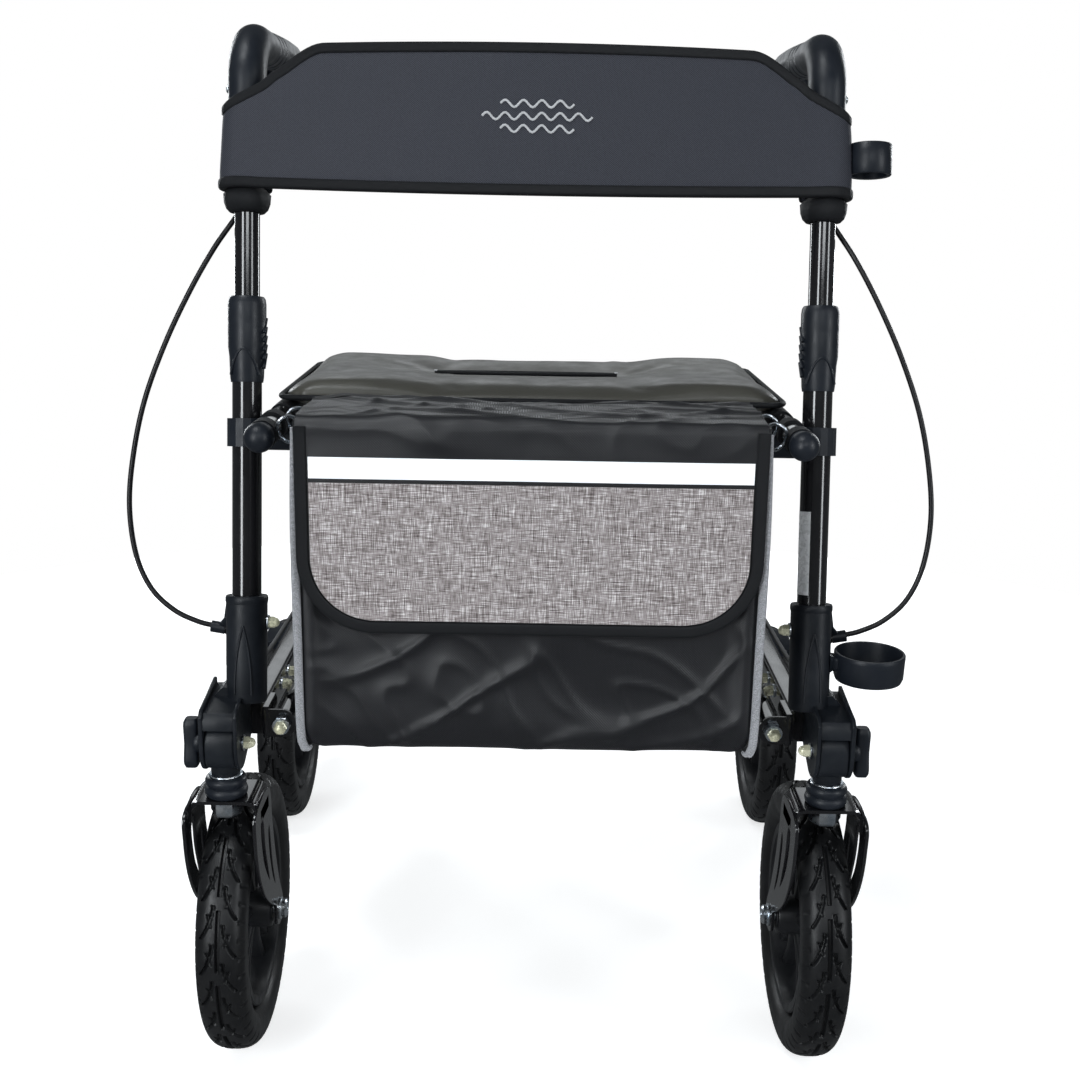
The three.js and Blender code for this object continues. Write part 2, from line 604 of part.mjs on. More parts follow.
function bagBody() {
  const { halfWidth, front, back, bottom, top, wall } = bag;
  const outer = roundedBox(halfWidth, front, back, bottom, top, 12);
  const inner = roundedBox(halfWidth - wall, front + wall, back - wall, bottom + wall, top + 9, 9);
  return cut(outer, inner);
}

// Lid that starts at the bag's back edge, lies over its mouth and hangs down its front.
function bagFlap() {
  const { halfWidth, bottom, thickness } = flap;
  const front = bag.front - gap;
  const low = bag.top + gap;
  return sidePlate([
    [bag.back, low], [bag.back, low + thickness], [front - thickness + 2, low + thickness],
    [front - thickness, low + thickness - 2], [front - thickness, bottom], [front, bottom], [front, low],
  ], -halfWidth, halfWidth);
}

// Backrest belt between the sleeves: bowed forward, taller in the middle.
function backrestBelt() {
  const { halfWidth, bow, thickness, low, high, shoulder, end } = belt;
  const radius = (halfWidth ** 2 + bow ** 2) / (2 * bow);
  const halfAngle = THREE.MathUtils.radToDeg(Math.asin(halfWidth / radius));
  const plan = new THREE.Shape([
    ...arc([0, radius - bow], radius, 270 - halfAngle, 270 + halfAngle, 12),
    ...arc([0, radius - bow], radius + thickness, 270 + halfAngle, 270 - halfAngle, 12),
  ].map(([x, y]) => new THREE.Vector2(x, y)));
  const curved = new THREE.ExtrudeGeometry(plan, { depth: high - low, bevelEnabled: false }).translate(0, 0, low);
  const front = new THREE.Shape([
    [-halfWidth - 9, low], [halfWidth + 9, low], [halfWidth + 9, end], [halfWidth - 20, end],
    [halfWidth - 52, shoulder + 4], [halfWidth - 76, high], [-halfWidth + 76, high],
    [-halfWidth + 52, shoulder + 4], [-halfWidth + 20, end], [-halfWidth - 9, end],
  ].map(([x, z]) => new THREE.Vector2(x, z)));
  const silhouette = new THREE.ExtrudeGeometry(front, { depth: 200, bevelEnabled: false })
    .rotateX(Math.PI / 2)
    .translate(0, 100, 0);
  const trim = box(-halfWidth, halfWidth, -200, 200, low - 9, high + 9);
  const centred = new THREE.Matrix4().makeTranslation(-post.x, 0, 0).premultiply(postMatrix);
  return common(common(curved, silhouette), trim).applyMatrix4(centred);
}

// ---- Cane ring and cup --------------------------------------------------------------------------

function caneRing() {
  const { t, outer, inner, height } = ring;
  const offset = ring.x - post.x;
  const body = rod('z', outer, t - height / 2, t + height / 2, [offset, 0], tubeSides);
  const lug = box(sleeve.radius + gap, offset, -7, 7, t - height / 2 + 4, t + height / 2 - 4);
  const hollow = rod('z', inner, t - height, t + height, [offset, 0], tubeSides);
  const clearOfSleeve = rod('z', sleeve.radius + gap + 0.2, t - height, t + height, [0, 0], tubeSides);
  return onPost(cut(join(body, lug), hollow, clearOfSleeve));
}

function caneCup() {
  const { x, y, top, bottom, outer, wall } = cup;
  const shell = lathe([
    [0, bottom], [outer - 5, bottom], [outer, bottom + 6], [outer, top], [outer - wall, top],
    [outer - wall, bottom + 7], [outer - 6, bottom + wall], [0, bottom + wall],
  ], 20).translate(x, y, 0);
  const bracket = sidePlate([
    [y - 12, top - 3], [y - 5, top - 17], [y + 5, top - 17], [y + 12, top - 3],
  ], post.x, x - outer + 2);
  const clearOfSocket = onPost(rod('z', socket.radius + gap, -120, 40, [0, 0], tubeSides));
  return cut(join(shell, bracket), clearOfSocket);
}

// ---- Assembly -----------------------------------------------------------------------------------

const rollator = new THREE.Group();
rollator.add(side('left', -1), side('right', 1));
rollator.add(
  piece('brace_a_pivot_tube', pivotTube(-brace.x), glossBlack),
  piece('brace_a_front_strut', strut(1, strutY.aFront, 0), glossBlack),
  piece('brace_a_rear_strut', strut(1, strutY.aRear, 0), glossBlack),
  piece('right_seat_rail', seatRail(brace.x), glossBlack),
  piece('brace_b_pivot_tube', pivotTube(brace.x), glossBlack),
  piece('brace_b_front_strut', strut(-1, strutY.bFront, -1), glossBlack),
  piece('brace_b_rear_strut', strut(-1, strutY.bRear, 1), glossBlack),
  piece('left_seat_rail', seatRail(-brace.x), glossBlack),
  piece('left_seat_pad', seatPad(-1), vinyl),
  piece('right_seat_pad', seatPad(1), vinyl),
  piece('bag_body', bagBody(), nylon),
  piece('bag_flap', bagFlap(), linen),
  piece('backrest_belt', backrestBelt(), twill),
  piece('cane_ring', caneRing(), darkPlastic),
  piece('cane_cup', caneCup(), darkPlastic),
);

export default rollator;
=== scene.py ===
"""Folding rollator walker: the visible model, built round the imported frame."""
import json
import math

import bmesh
import bpy
import numpy as np
from mathutils import Matrix, Vector, noise


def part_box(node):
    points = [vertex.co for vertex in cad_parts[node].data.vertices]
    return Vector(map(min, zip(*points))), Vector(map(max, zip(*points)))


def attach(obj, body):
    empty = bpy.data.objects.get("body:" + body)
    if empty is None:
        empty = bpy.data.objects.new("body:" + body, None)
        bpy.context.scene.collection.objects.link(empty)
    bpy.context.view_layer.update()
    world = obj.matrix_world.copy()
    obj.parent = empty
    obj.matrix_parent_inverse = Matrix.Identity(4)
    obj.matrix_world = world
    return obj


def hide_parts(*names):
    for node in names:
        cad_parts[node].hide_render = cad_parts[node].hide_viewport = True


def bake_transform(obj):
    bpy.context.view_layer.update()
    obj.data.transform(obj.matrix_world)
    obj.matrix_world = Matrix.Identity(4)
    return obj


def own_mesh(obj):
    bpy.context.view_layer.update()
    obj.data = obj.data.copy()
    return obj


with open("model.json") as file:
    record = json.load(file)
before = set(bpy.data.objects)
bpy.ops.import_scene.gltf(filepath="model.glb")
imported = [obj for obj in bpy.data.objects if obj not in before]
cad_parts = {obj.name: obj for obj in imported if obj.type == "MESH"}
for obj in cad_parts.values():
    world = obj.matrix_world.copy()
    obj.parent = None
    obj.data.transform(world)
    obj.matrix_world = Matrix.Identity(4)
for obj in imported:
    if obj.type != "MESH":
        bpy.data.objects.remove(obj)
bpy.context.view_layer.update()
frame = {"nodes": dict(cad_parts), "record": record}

# ---- Driving places, in metres, in the frame's own axes -----------------------------------------

LOW, HIGH = (Vector(c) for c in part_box("left_front_tyre"))
WHEEL_R = (HIGH.z - LOW.z) / 2
FRONT_AXLE_Y = (LOW.y + HIGH.y) / 2
FRONT_WHEEL_X = -(LOW.x + HIGH.x) / 2
LOW, HIGH = (Vector(c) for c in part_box("left_rear_tyre"))
REAR_AXLE_Y = (LOW.y + HIGH.y) / 2
REAR_WHEEL_X = -(LOW.x + HIGH.x) / 2
STEER_Y = FRONT_AXLE_Y - 0.062
POST_X = 0.245
POST_FOOT = Vector((POST_X, FRONT_AXLE_Y - 0.025, 0.437))
POST_LEAN = math.radians(9.9)
HANDLE_Z = 0.901
RAIL_X, RAIL_Z = 0.217, 0.588
BRACE_Z = 0.321
BOLT_Z = 0.316
BAR_INNER, BAR_OUTER, BAR_LOW, BAR_HIGH = 0.233, 0.252, 0.308, 0.338
LEVER_Y, LEVER_Z = FRONT_AXLE_Y + 0.097, 0.872
SIDES = (("left", -1), ("right", 1))
RAIL_SIDES = (("right", 1, "brace_a"), ("left", -1, "brace_b"))
POST = Matrix.Translation(POST_FOOT) @ Matrix.Rotation(-POST_LEAN, 4, "X")


def post_point(t, x=0.0, y=0.0):
    """A point beside the post: t along it from the casting's mouth, x and y across it."""
    return POST @ Vector((x, y, t))


# ---- Materials ----------------------------------------------------------------------------------


class Shader:
    """A material's node tree with a few short-hands."""

    def __init__(self, name, color, roughness, metallic=0.0, **sockets):
        self.material = bpy.data.materials.new(name)
        self.material.use_nodes = True
        self.tree = self.material.node_tree
        self.bsdf = self.tree.nodes["Principled BSDF"]
        self.bsdf.inputs["Base Color"].default_value = (*color, 1)
        self.bsdf.inputs["Roughness"].default_value = roughness
        self.bsdf.inputs["Metallic"].default_value = metallic
        for socket, value in sockets.items():
            self.bsdf.inputs[socket.replace("_", " ")].default_value = value
        self.material.diffuse_color = (*color, 1)
        self.height = None

    def node(self, kind, **values):
        made = self.tree.nodes.new("ShaderNode" + kind)
        for key, value in values.items():
            if key in made.inputs:
                made.inputs[key].default_value = value
            else:
                setattr(made, key, value)
        return made

    def link(self, a, b):
        self.tree.links.new(a, b)

    def coords(self, scale=(1, 1, 1), rotation=(0, 0, 0)):
        source = self.node("TexCoord").outputs["Object"]
        mapping = self.node("Mapping")
        mapping.inputs["Scale"].default_value = scale
        mapping.inputs["Rotation"].default_value = rotation
        self.link(source, mapping.inputs["Vector"])
        return mapping.outputs["Vector"]

    def noise(self, scale, detail=3.0, stretch=(1, 1, 1), rotation=(0, 0, 0)):
        made = self.node("TexNoise", Scale=scale, Detail=detail)
        self.link(self.coords(stretch, rotation), made.inputs["Vector"])
        return made.outputs["Fac"]

    def wave(self, scale, rotation=(0, 0, 0), distortion=0.0, direction="X"):
        made = self.node("TexWave", Scale=scale, Distortion=distortion, bands_direction=direction)
        self.link(self.coords((1, 1, 1), rotation), made.inputs["Vector"])
        return made.outputs["Fac"]

    def voronoi(self, scale, feature="F1"):
        made = self.node("TexVoronoi", Scale=scale, feature=feature)
        self.link(self.coords(), made.inputs["Vector"])
        return made.outputs["Distance"]

    def math(self, operation, a, b):
        made = self.node("Math", operation=operation)
        for socket, value in zip(made.inputs, (a, b)):
            if isinstance(value, (int, float)):
                socket.default_value = value
            else:
                self.link(value, socket)
        return made.outputs[0]

    def ramp(self, factor, stops):
        made = self.node("ValToRGB")
        elements = made.color_ramp.elements
        while len(elements) < len(stops):
            elements.new(0.5)
        for element, (position, color) in zip(elements, stops):
            element.position = position
            element.color = (*color, 1)
        self.link(factor, made.inputs["Fac"])
        return made.outputs["Color"]

    def tint(self, factor, low, high, start=0.3, end=0.7):
        self.link(self.ramp(factor, [(start, low), (end, high)]), self.bsdf.inputs["Base Color"])
        return self

    def span(self, factor, socket, low, high, start=0.3, end=0.7):
        """Drives a socket of the shader from low to high as the factor goes from start to end."""
        made = self.node("MapRange")
        for key, value in zip(("From Min", "From Max", "To Min", "To Max"), (start, end, low, high)):
            made.inputs[key].default_value = value
        self.link(factor, made.inputs["Value"])
        self.link(made.outputs["Result"], self.bsdf.inputs[socket])
        return self

    def rough(self, factor, low, high):
        return self.span(factor, "Roughness", low, high)

    def bump(self, factor, distance, strength=1.0):
        made = self.node("Bump", Distance=distance, Strength=strength)
        self.link(factor, made.inputs["Height"])
        if self.height is not None:
            self.link(self.height, made.inputs["Normal"])
        self.height = made.outputs["Normal"]
        self.link(self.height, self.bsdf.inputs["Normal"])
        return self


def moulded(name, color, roughness, gloss_noise, gloss, tint_noise, tints, grain, relief, **sockets):
    """Paint, metal, rubber or plastic: slow changes of gloss and colour over a fine grain."""
    s = Shader(name, color, roughness, **sockets)
    s.rough(s.noise(*gloss_noise), *gloss)
    s.tint(s.noise(*tint_noise), *tints)
    return s.bump(s.noise(*grain), *relief).material


def dark_plastic():
    s = Shader("dark_plastic", (0.005, 0.0065, 0.010), 0.36, Specular_IOR_Level=0.28)
    s.rough(s.noise(90, 4), 0.34, 0.48)
    s.tint(s.noise(25, 4), (0.005, 0.007, 0.0105), (0.0095, 0.012, 0.017))
    return s.bump(s.voronoi(1100), 0.00010, 0.35).material


def zinc(name, low, high, metallic=1.0):
    return moulded(name, high, 0.28, (300, 4), (0.18, 0.42), (90, 4), (low, high), (700, 3), (0.00008, 0.4),
                   metallic=metallic)


def seat_vinyl():
    s = Shader("seat_vinyl", (0.052, 0.050, 0.042), 0.34, Specular_IOR_Level=0.42)
    s.rough(s.noise(50, 4), 0.3, 0.46)
    s.tint(s.noise(9, 4), (0.044, 0.0425, 0.036), (0.060, 0.058, 0.049))
    s.bump(s.voronoi(650), 0.00018, 0.45)
    return s.bump(s.noise(60, 4), 0.0006, 0.25).material


def nylon():
    s = Shader("bag_nylon", (0.005, 0.005, 0.006), 0.36, Specular_IOR_Level=0.5)
    weave = s.math("MULTIPLY", s.wave(215, (0, math.radians(45), 0)), s.wave(215, (0, math.radians(-45), 0)))
    # Partly the weave's own pattern, partly painted highlight: the thread crowns are painted far lighter than
    # the black cloth, standing for the dotted sheen of light on them.
    s.tint(weave, (0.0012, 0.0012, 0.0016), (0.050, 0.052, 0.064), 0.4, 1.0)
    s.rough(weave, 0.50, 0.27)
    s.bump(s.noise(34, 4, (1, 1, 0.6), (0, 0.6, 0)), 0.0022, 0.55)
    return s.bump(weave, 0.00025, 0.5).material


def linen():
    s = Shader("linen_panel", (0.27, 0.245, 0.24), 0.85, Specular_IOR_Level=0.2)
    across = s.noise(2400, 2, (0.04, 1, 1))
    along = s.noise(2400, 2, (1, 1, 0.04))
    threads = s.math("ADD", s.math("MULTIPLY", across, 0.5), s.math("MULTIPLY", along, 0.5))
    stops = [(0.38, (0.050, 0.041, 0.040)), (0.46, (0.175, 0.152, 0.150)), (0.55, (0.285, 0.262, 0.262)),
             (0.64, (0.66, 0.64, 0.64))]
    s.link(s.ramp(threads, stops), s.bsdf.inputs["Base Color"])
    return s.bump(threads, 0.0005, 0.6).material


def twill():
    s = Shader("belt_twill", (0.022, 0.023, 0.027), 0.7, Specular_IOR_Level=0.22)
    lines = s.wave(250, (0, math.radians(52), 0), 0.6)
    grain = s.noise(900, 2)
    weave = s.math("ADD", s.math("MULTIPLY", lines, 0.6), s.math("MULTIPLY", grain, 0.4))
    s.tint(weave, (0.010, 0.011, 0.0145), (0.046, 0.049, 0.062), 0.2, 0.8)
    return s.bump(weave, 0.0003, 0.6).material


def webbing():
    s = Shader("binding_black", (0.006, 0.0065, 0.008), 0.6, Specular_IOR_Level=0.2)
    ribs = s.wave(520)
    s.tint(ribs, (0.003, 0.0032, 0.004), (0.011, 0.012, 0.014), 0.2, 0.9)
    return s.bump(ribs, 0.0003, 0.6).material


def reflective():
    s = Shader("reflective", (0.88, 0.91, 0.95), 0.32, Coat_Weight=0.4)
    s.tint(s.noise(20, 3), (0.84, 0.87, 0.92), (0.93, 0.95, 0.98))
    return s.bump(s.voronoi(700), 0.00006, 0.4).material


def piping():
    s = Shader("grey_piping", (0.20, 0.205, 0.225), 0.7, Specular_IOR_Level=0.25)
    stitches = s.wave(330, direction="Z")
    speckle = s.math("MULTIPLY", stitches, s.noise(1300, 2))
    s.tint(speckle, (0.065, 0.067, 0.074), (0.56, 0.57, 0.60), 0.1, 0.6)
    return s.bump(speckle, 0.0005, 0.7).material


def thread(name, color):
    s = Shader(name, color, 0.6, Sheen_Weight=0.4)
    s.tint(s.wave(900), tuple(0.6 * c for c in color), color, 0.1, 0.9)
    return s.bump(s.wave(900), 0.0002, 0.6).material


FLOOR_RADIUS = 1.7


def floor_paper():
    s = Shader("floor_paper", (0.8, 0.8, 0.8), 0.9, Specular_IOR_Level=0.0, Emission_Color=(1, 1, 1, 1))
    s.tint(s.noise(2, 2), (0.79, 0.79, 0.79), (0.81, 0.81, 0.81))
    falloff = s.node("TexGradient", gradient_type="SPHERICAL")
    s.link(s.coords((1 / FLOOR_RADIUS, 1 / FLOOR_RADIUS, 1)), falloff.inputs["Vector"])
    return s.span(falloff.outputs["Fac"], "Emission Strength", 1.0, 0.62, 0.05, 0.5).material


MATERIALS = {
    "frame_gloss": moulded(
        "frame_gloss", (0.005, 0.005, 0.006), 0.13, (40, 5), (0.09, 0.2),
        (12, 3), ((0.004, 0.004, 0.005), (0.008, 0.008, 0.009)), (900, 2), (0.00003, 0.4),
        Coat_Weight=0.3, Coat_Roughness=0.06),
    "cast_black": moulded(
        "cast_black", (0.004, 0.005, 0.007), 0.36, (120, 4), (0.36, 0.5),
        (30, 4), ((0.004, 0.0055, 0.008), (0.0085, 0.0105, 0.014)), (1400, 3), (0.00012, 0.5),
        Specular_IOR_Level=0.26),
    "dark_plastic": dark_plastic(),
    "zinc": zinc("zinc", (0.45, 0.52, 0.60), (0.78, 0.80, 0.82)),
    "zinc_yellow": zinc("zinc_yellow", (0.55, 0.54, 0.38), (0.78, 0.77, 0.58), 0.35),
    "tyre_rubber": moulded(
        "tyre_rubber", (0.004, 0.0043, 0.005), 0.42, (60, 5), (0.32, 0.5),
        (35, 5), ((0.0035, 0.0038, 0.0045), (0.008, 0.0083, 0.009)), (1500, 3), (0.00012, 0.5),
        Specular_IOR_Level=0.3),
    "wheel_plastic": moulded(
        "wheel_plastic", (0.006, 0.0065, 0.008), 0.38, (80, 4), (0.3, 0.5),
        (22, 4), ((0.005, 0.0055, 0.0065), (0.010, 0.0105, 0.012)), (1200, 3), (0.0001, 0.4),
        Specular_IOR_Level=0.25),
    "seat_vinyl": seat_vinyl(),
    "bag_nylon": nylon(),
    "linen_panel": linen(),
    "belt_twill": twill(),
    "binding_black": webbing(),
    "reflective": reflective(),
    "grey_piping": piping(),
    "cable_black": moulded(
        "cable_black", (0.006, 0.006, 0.007), 0.34, (70, 3), (0.28, 0.42),
        (30, 3), ((0.005, 0.005, 0.006), (0.009, 0.009, 0.010)), (600, 2), (0.00005, 0.4),
        Specular_IOR_Level=0.3),
    "pale_thread": thread("pale_thread", (0.55, 0.56, 0.58)),
    "silver_label": zinc("silver_label", (0.52, 0.53, 0.54), (0.66, 0.67, 0.68), 0.15),
}

# ---- Mesh helpers -------------------------------------------------------------------------------


def finish_piece(name, mesh, material, body, nodes=(), smooth=35):
    """Makes the object, shades it, and ties it to its body and the CAD nodes it stands for."""
    made = bpy.data.objects.new(name, mesh)
    bpy.context.scene.collection.objects.link(made)
    mesh.materials.append(MATERIALS[material])
    mesh.polygons.foreach_set("use_smooth", [True] * len(mesh.polygons))
    mesh.set_sharp_from_angle(angle=math.radians(smooth))
    if nodes:
        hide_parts(*nodes)
    if body:
        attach(made, body)
    return made


def mesh_of(name, vertices, faces):
    mesh = bpy.data.meshes.new(name)
    mesh.from_pydata([tuple(v) for v in vertices], [], faces)
    shape = bmesh.new()
    shape.from_mesh(mesh)
    bmesh.ops.recalc_face_normals(shape, faces=shape.faces)
    shape.to_mesh(mesh)
    shape.free()
    return mesh


def grid_parts(points, wrap_u=False, wrap_v=True, caps=True):
    """Vertices and faces of a sheet of points[u][v], with each end closed by a cap."""
    points = np.asarray(points, float)
    nu, nv = points.shape[:2]
    faces = []
    for i in range(nu if wrap_u else nu - 1):
        a, b = i * nv, (i + 1) % nu * nv
        faces += [(a + j, a + (j + 1) % nv, b + (j + 1) % nv, b + j) for j in range(nv if wrap_v else nv - 1)]
    if caps and not wrap_u:
        faces += [tuple(range(nv)), tuple(range((nu - 1) * nv, nu * nv))]
    return points.reshape(-1, 3), faces


def merged(*parts):
    vertices, faces = [], []
    for points, polygons in parts:
        start = len(vertices)
        vertices += [tuple(p) for p in points]
        faces += [tuple(i + start for i in polygon) for polygon in polygons]
    return vertices, faces


def moved(part, matrix):
    points, faces = part
    return [matrix @ Vector(p) for p in points], faces


def all_round(count):
    """Angles once round a circle, without the last one, which is the first again."""
    return np.linspace(0, 2 * math.pi, count, endpoint=False)


def circle(radius, sides=32):
    angles = all_round(sides)
    return np.stack([radius * np.cos(angles), radius * np.sin(angles)], 1)


def super_section(half_u, half_v, power=0.5, sides=40):
    """A closed section between an ellipse (power 1) and a rectangle (power 0)."""
    return [(half_u * math.copysign(abs(u) ** power, u), half_v * math.copysign(abs(v) ** power, v))
            for u, v in circle(1, sides)]


def arc_points(centre, radius, start, end, steps):
    angles = np.radians(np.linspace(start, end, steps + 1))
    return [(centre[0] + radius * math.cos(a), centre[1] + radius * math.sin(a)) for a in angles]


def corner_arcs(half, front, back, corner, steps):
    """The corner arcs of a rounded rectangle, counter-clockwise from the one at +X and the back."""
    places = ((half - corner, back - corner, 0), (corner - half, back - corner, 90),
              (corner - half, front + corner, 180), (half - corner, front + corner, 270))
    return [arc_points((x, y), corner, start, start + 90, steps) for x, y, start in places]


def outward(line, i, closed=False):
    """The unit normal on the right-hand side of a flat line of points, at its point i."""
    count = len(line)
    behind = line[i - 1] if closed else line[max(i - 1, 0)]
    ahead = line[(i + 1) % count] if closed else line[min(i + 1, count - 1)]
    direction = Vector((ahead[0] - behind[0], ahead[1] - behind[1])).normalized()
    return Vector((direction.y, -direction.x))


def sweep(path, section, scales=None, up=(1, 0, 0)):
    """A closed section carried along a path, kept square to it; `up` sets the section's first axis."""
    path = [Vector(p) for p in path]
    rows = []
    for i, p in enumerate(path):
        ahead = path[min(i + 1, len(path) - 1)] - path[max(i - 1, 0)]
        tangent = ahead.normalized()
        side = (Vector(up) - tangent * tangent.dot(Vector(up))).normalized()
        other = tangent.cross(side)
        scale = scales[i] if scales is not None else 1.0
        rows.append([p + side * (u * scale) + other * (v * scale) for u, v in section])
    return grid_parts(rows)


def tube(path, radius, sides=32, up=(1, 0, 0), scales=None):
    return sweep(path, circle(radius, sides), scales, up)


def lathe(profile, sides=64, closed=False):
    """Revolves [radius, height] pairs about Z."""
    angles = all_round(sides)
    rows = [[(r * math.cos(a), r * math.sin(a), h) for a in angles] for r, h in profile]
    return grid_parts(rows, wrap_u=closed, caps=not closed)


def rod(axis, radius, start, end, at, sides=32, chamfer=0.0004):
    """A chamfered rod along X, Y or Z; at gives its other two coordinates."""
    c = chamfer
    part = lathe([(radius - c, start), (radius, start + c), (radius, end - c), (radius - c, end)], sides)
    if axis == "x":
        return moved(part, Matrix.Translation((0, at[0], at[1])) @ Matrix.Rotation(math.pi / 2, 4, "Y"))
    if axis == "y":
        return moved(part, Matrix.Translation((at[0], 0, at[1])) @ Matrix.Rotation(-math.pi / 2, 4, "X"))
    return moved(part, Matrix.Translation((at[0], at[1], 0)))


def curve_points(a, b, c, d, per):
    """Catmull-Rom points from b up to, but without, c."""
    return [0.5 * (2 * b + (c - a) * t + (2 * a - 5 * b + 4 * c - d) * t**2 + (3 * b - a - 3 * c + d) * t**3)
            for t in np.linspace(0, 1, per, endpoint=False)]


def smooth_path(points, count):
    """A smooth open line along a given route."""
    p = [np.array(q, float) for q in points]
    p = [2 * p[0] - p[1], *p, 2 * p[-1] - p[-2]]
    per = max(2, count // (len(points) - 1))
    out = []
    for a, b, c, d in zip(p, p[1:], p[2:], p[3:]):
        out += curve_points(a, b, c, d, per)
    out.append(p[-2])
    return [Vector(q) for q in out]


def bevel(piece, width, segments=3, angle=30):
    made = piece.modifiers.new("Bevel", "BEVEL")
    made.width = width
    made.segments = segments
    made.limit_method = "ANGLE"
    made.angle_limit = math.radians(angle)
    made.harden_normals = True
    return piece


def build(name, parts, material, body, nodes=(), smooth=35, mirror=1):
    """One piece from parts, mirrored to -X when mirror is -1."""
    vertices, faces = merged(*parts)
    if mirror < 0:
        vertices = [(-v[0], v[1], v[2]) for v in vertices]
    return finish_piece(name, mesh_of(name, vertices, faces), material, body, nodes, smooth)


# ---- Camera, light and floor --------------------------------------------------------------------

LIGHTS = (  # name, place, width and height, watts
    ("key", (-0.9, -0.9, 3.0), (1.0, 1.0), 34),
    ("strip_left", (-1.5, -2.4, 1.1), (0.62, 1.7), 44),
    ("strip_right", (2.1, -1.7, 1.1), (0.5, 1.7), 26),
    ("front", (0.35, -2.7, 1.75), (1.1, 0.4), 12),
    ("strip_back_left", (-1.8, 2.2, 1.2), (0.3, 1.6), 24),
    ("strip_back_right", (1.9, 2.1, 1.2), (0.3, 1.6), 24),
    ("sky_back", (0, 2.4, 1.5), (2.2, 0.7), 6),
)


def studio():
    """The camera, a dim world that looks white to the camera, seven soft lights and a pale floor."""
    camera = bpy.data.objects.new("camera", bpy.data.cameras.new("camera"))
    camera.data.lens = 46.67
    camera.data.clip_end = 20
    height, distance = 0.784, 1.191
    pitch, yaw, roll = math.radians(14.11), math.radians(-0.4), math.radians(1.0)
    place = Matrix.Translation((0, FRONT_AXLE_Y - distance, height))
    turn = Matrix.Rotation(yaw, 4, "Z") @ Matrix.Rotation(math.pi / 2 - pitch, 4, "X")
    camera.matrix_world = place @ turn @ Matrix.Rotation(roll, 4, "Z")
    bpy.context.scene.collection.objects.link(camera)
    bpy.context.scene.camera = camera
    world = bpy.data.worlds.new("studio")
    bpy.context.scene.world = world
    world.use_nodes = True
    nodes, links = world.node_tree.nodes, world.node_tree.links
    soft = nodes["Background"]
    soft.inputs["Color"].default_value = (0.92, 0.97, 1, 1)
    soft.inputs["Strength"].default_value = 0.13
    paper = nodes.new("ShaderNodeBackground")
    paper.inputs["Color"].default_value = (1, 1, 1, 1)
    mix, path = nodes.new("ShaderNodeMixShader"), nodes.new("ShaderNodeLightPath")
    links.new(path.outputs["Is Camera Ray"], mix.inputs["Fac"])
    links.new(soft.outputs["Background"], mix.inputs[1])
    links.new(paper.outputs["Background"], mix.inputs[2])
    links.new(mix.outputs["Shader"], nodes["World Output"].inputs["Surface"])
    bpy.context.scene.view_settings.view_transform = "Standard"
    for name, place, size, power in LIGHTS:
        light = bpy.data.objects.new(name, bpy.data.lights.new(name, "AREA"))
        light.data.shape = "RECTANGLE"
        light.data.size, light.data.size_y = size
        light.data.energy = power
        light.data.color = (0.93, 0.97, 1.0)
        light.location = place
        light.rotation_euler = (Vector((0, 0, 0.5)) - Vector(place)).to_track_quat("-Z", "Y").to_euler()
        bpy.context.scene.collection.objects.link(light)
    rim = [(x, y, 0) for x, y in circle(FLOOR_RADIUS, 96)]
    floor = bpy.data.meshes.new("floor")
    floor.from_pydata(rim, [], [tuple(range(len(rim)))])
    stage = bpy.data.objects.new("floor", floor)
    floor.materials.append(floor_paper())
    bpy.context.scene.collection.objects.link(stage)
    stage.visible_glossy = False


# ---- CAD nodes that stay ------------------------------------------------------------------------

SLOT_BY_NODE = {p["node"]: p["material_slot"] for p in frame["record"]["subparts"]}


def dress_cad_nodes():
    """Every carried-over CAD node gets its material, smooth shading and soft edges."""
    for name, node in frame["nodes"].items():
        if node.hide_render:
            continue
        node.data.materials.clear()
        node.data.materials.append(MATERIALS[SLOT_BY_NODE[name]])
        node.data.polygons.foreach_set("use_smooth", [True] * len(node.data.polygons))
        node.data.set_sharp_from_angle(angle=math.radians(32))
        bevel(node, 0.0006, 2, 40)


# ---- Wheels -------------------------------------------------------------------------------------


def tread_depth(along, across, pitch):
    """How deep the tread is cut at a place on the tyre: dashed centre groove and curved side cuts."""

    def groove(distance, half_width, depth):
        return depth * np.clip((half_width - np.abs(distance)) / 0.0005, 0, 1)

    dash = np.abs((along / (2 * pitch)) % 1 - 0.5) < 0.41
    depth = groove(across, 0.0019, 0.0034) * dash
    for sign, shift in ((1, 0.0), (-1, 0.5)):
        share = (along / pitch + shift) % 1
        curve = 0.0045 + 0.0125 * share**2
        long_cut = groove(sign * across - curve, 0.0016, 0.0032) * (share > 0.06) * (share < 0.92)
        hook = 0.0105 - 0.011 * (share - 0.2)
        short_cut = groove(sign * across - hook, 0.0013, 0.0026) * (share > 0.3) * (share < 0.62)
        nick = np.abs((along / pitch * 2 + shift) % 1 - 0.5) < 0.07
        edge_cut = 0.0016 * nick * (sign * across > 0.0165)
        depth = np.maximum.reduce([depth, long_cut, short_cut, edge_cut])
    return depth


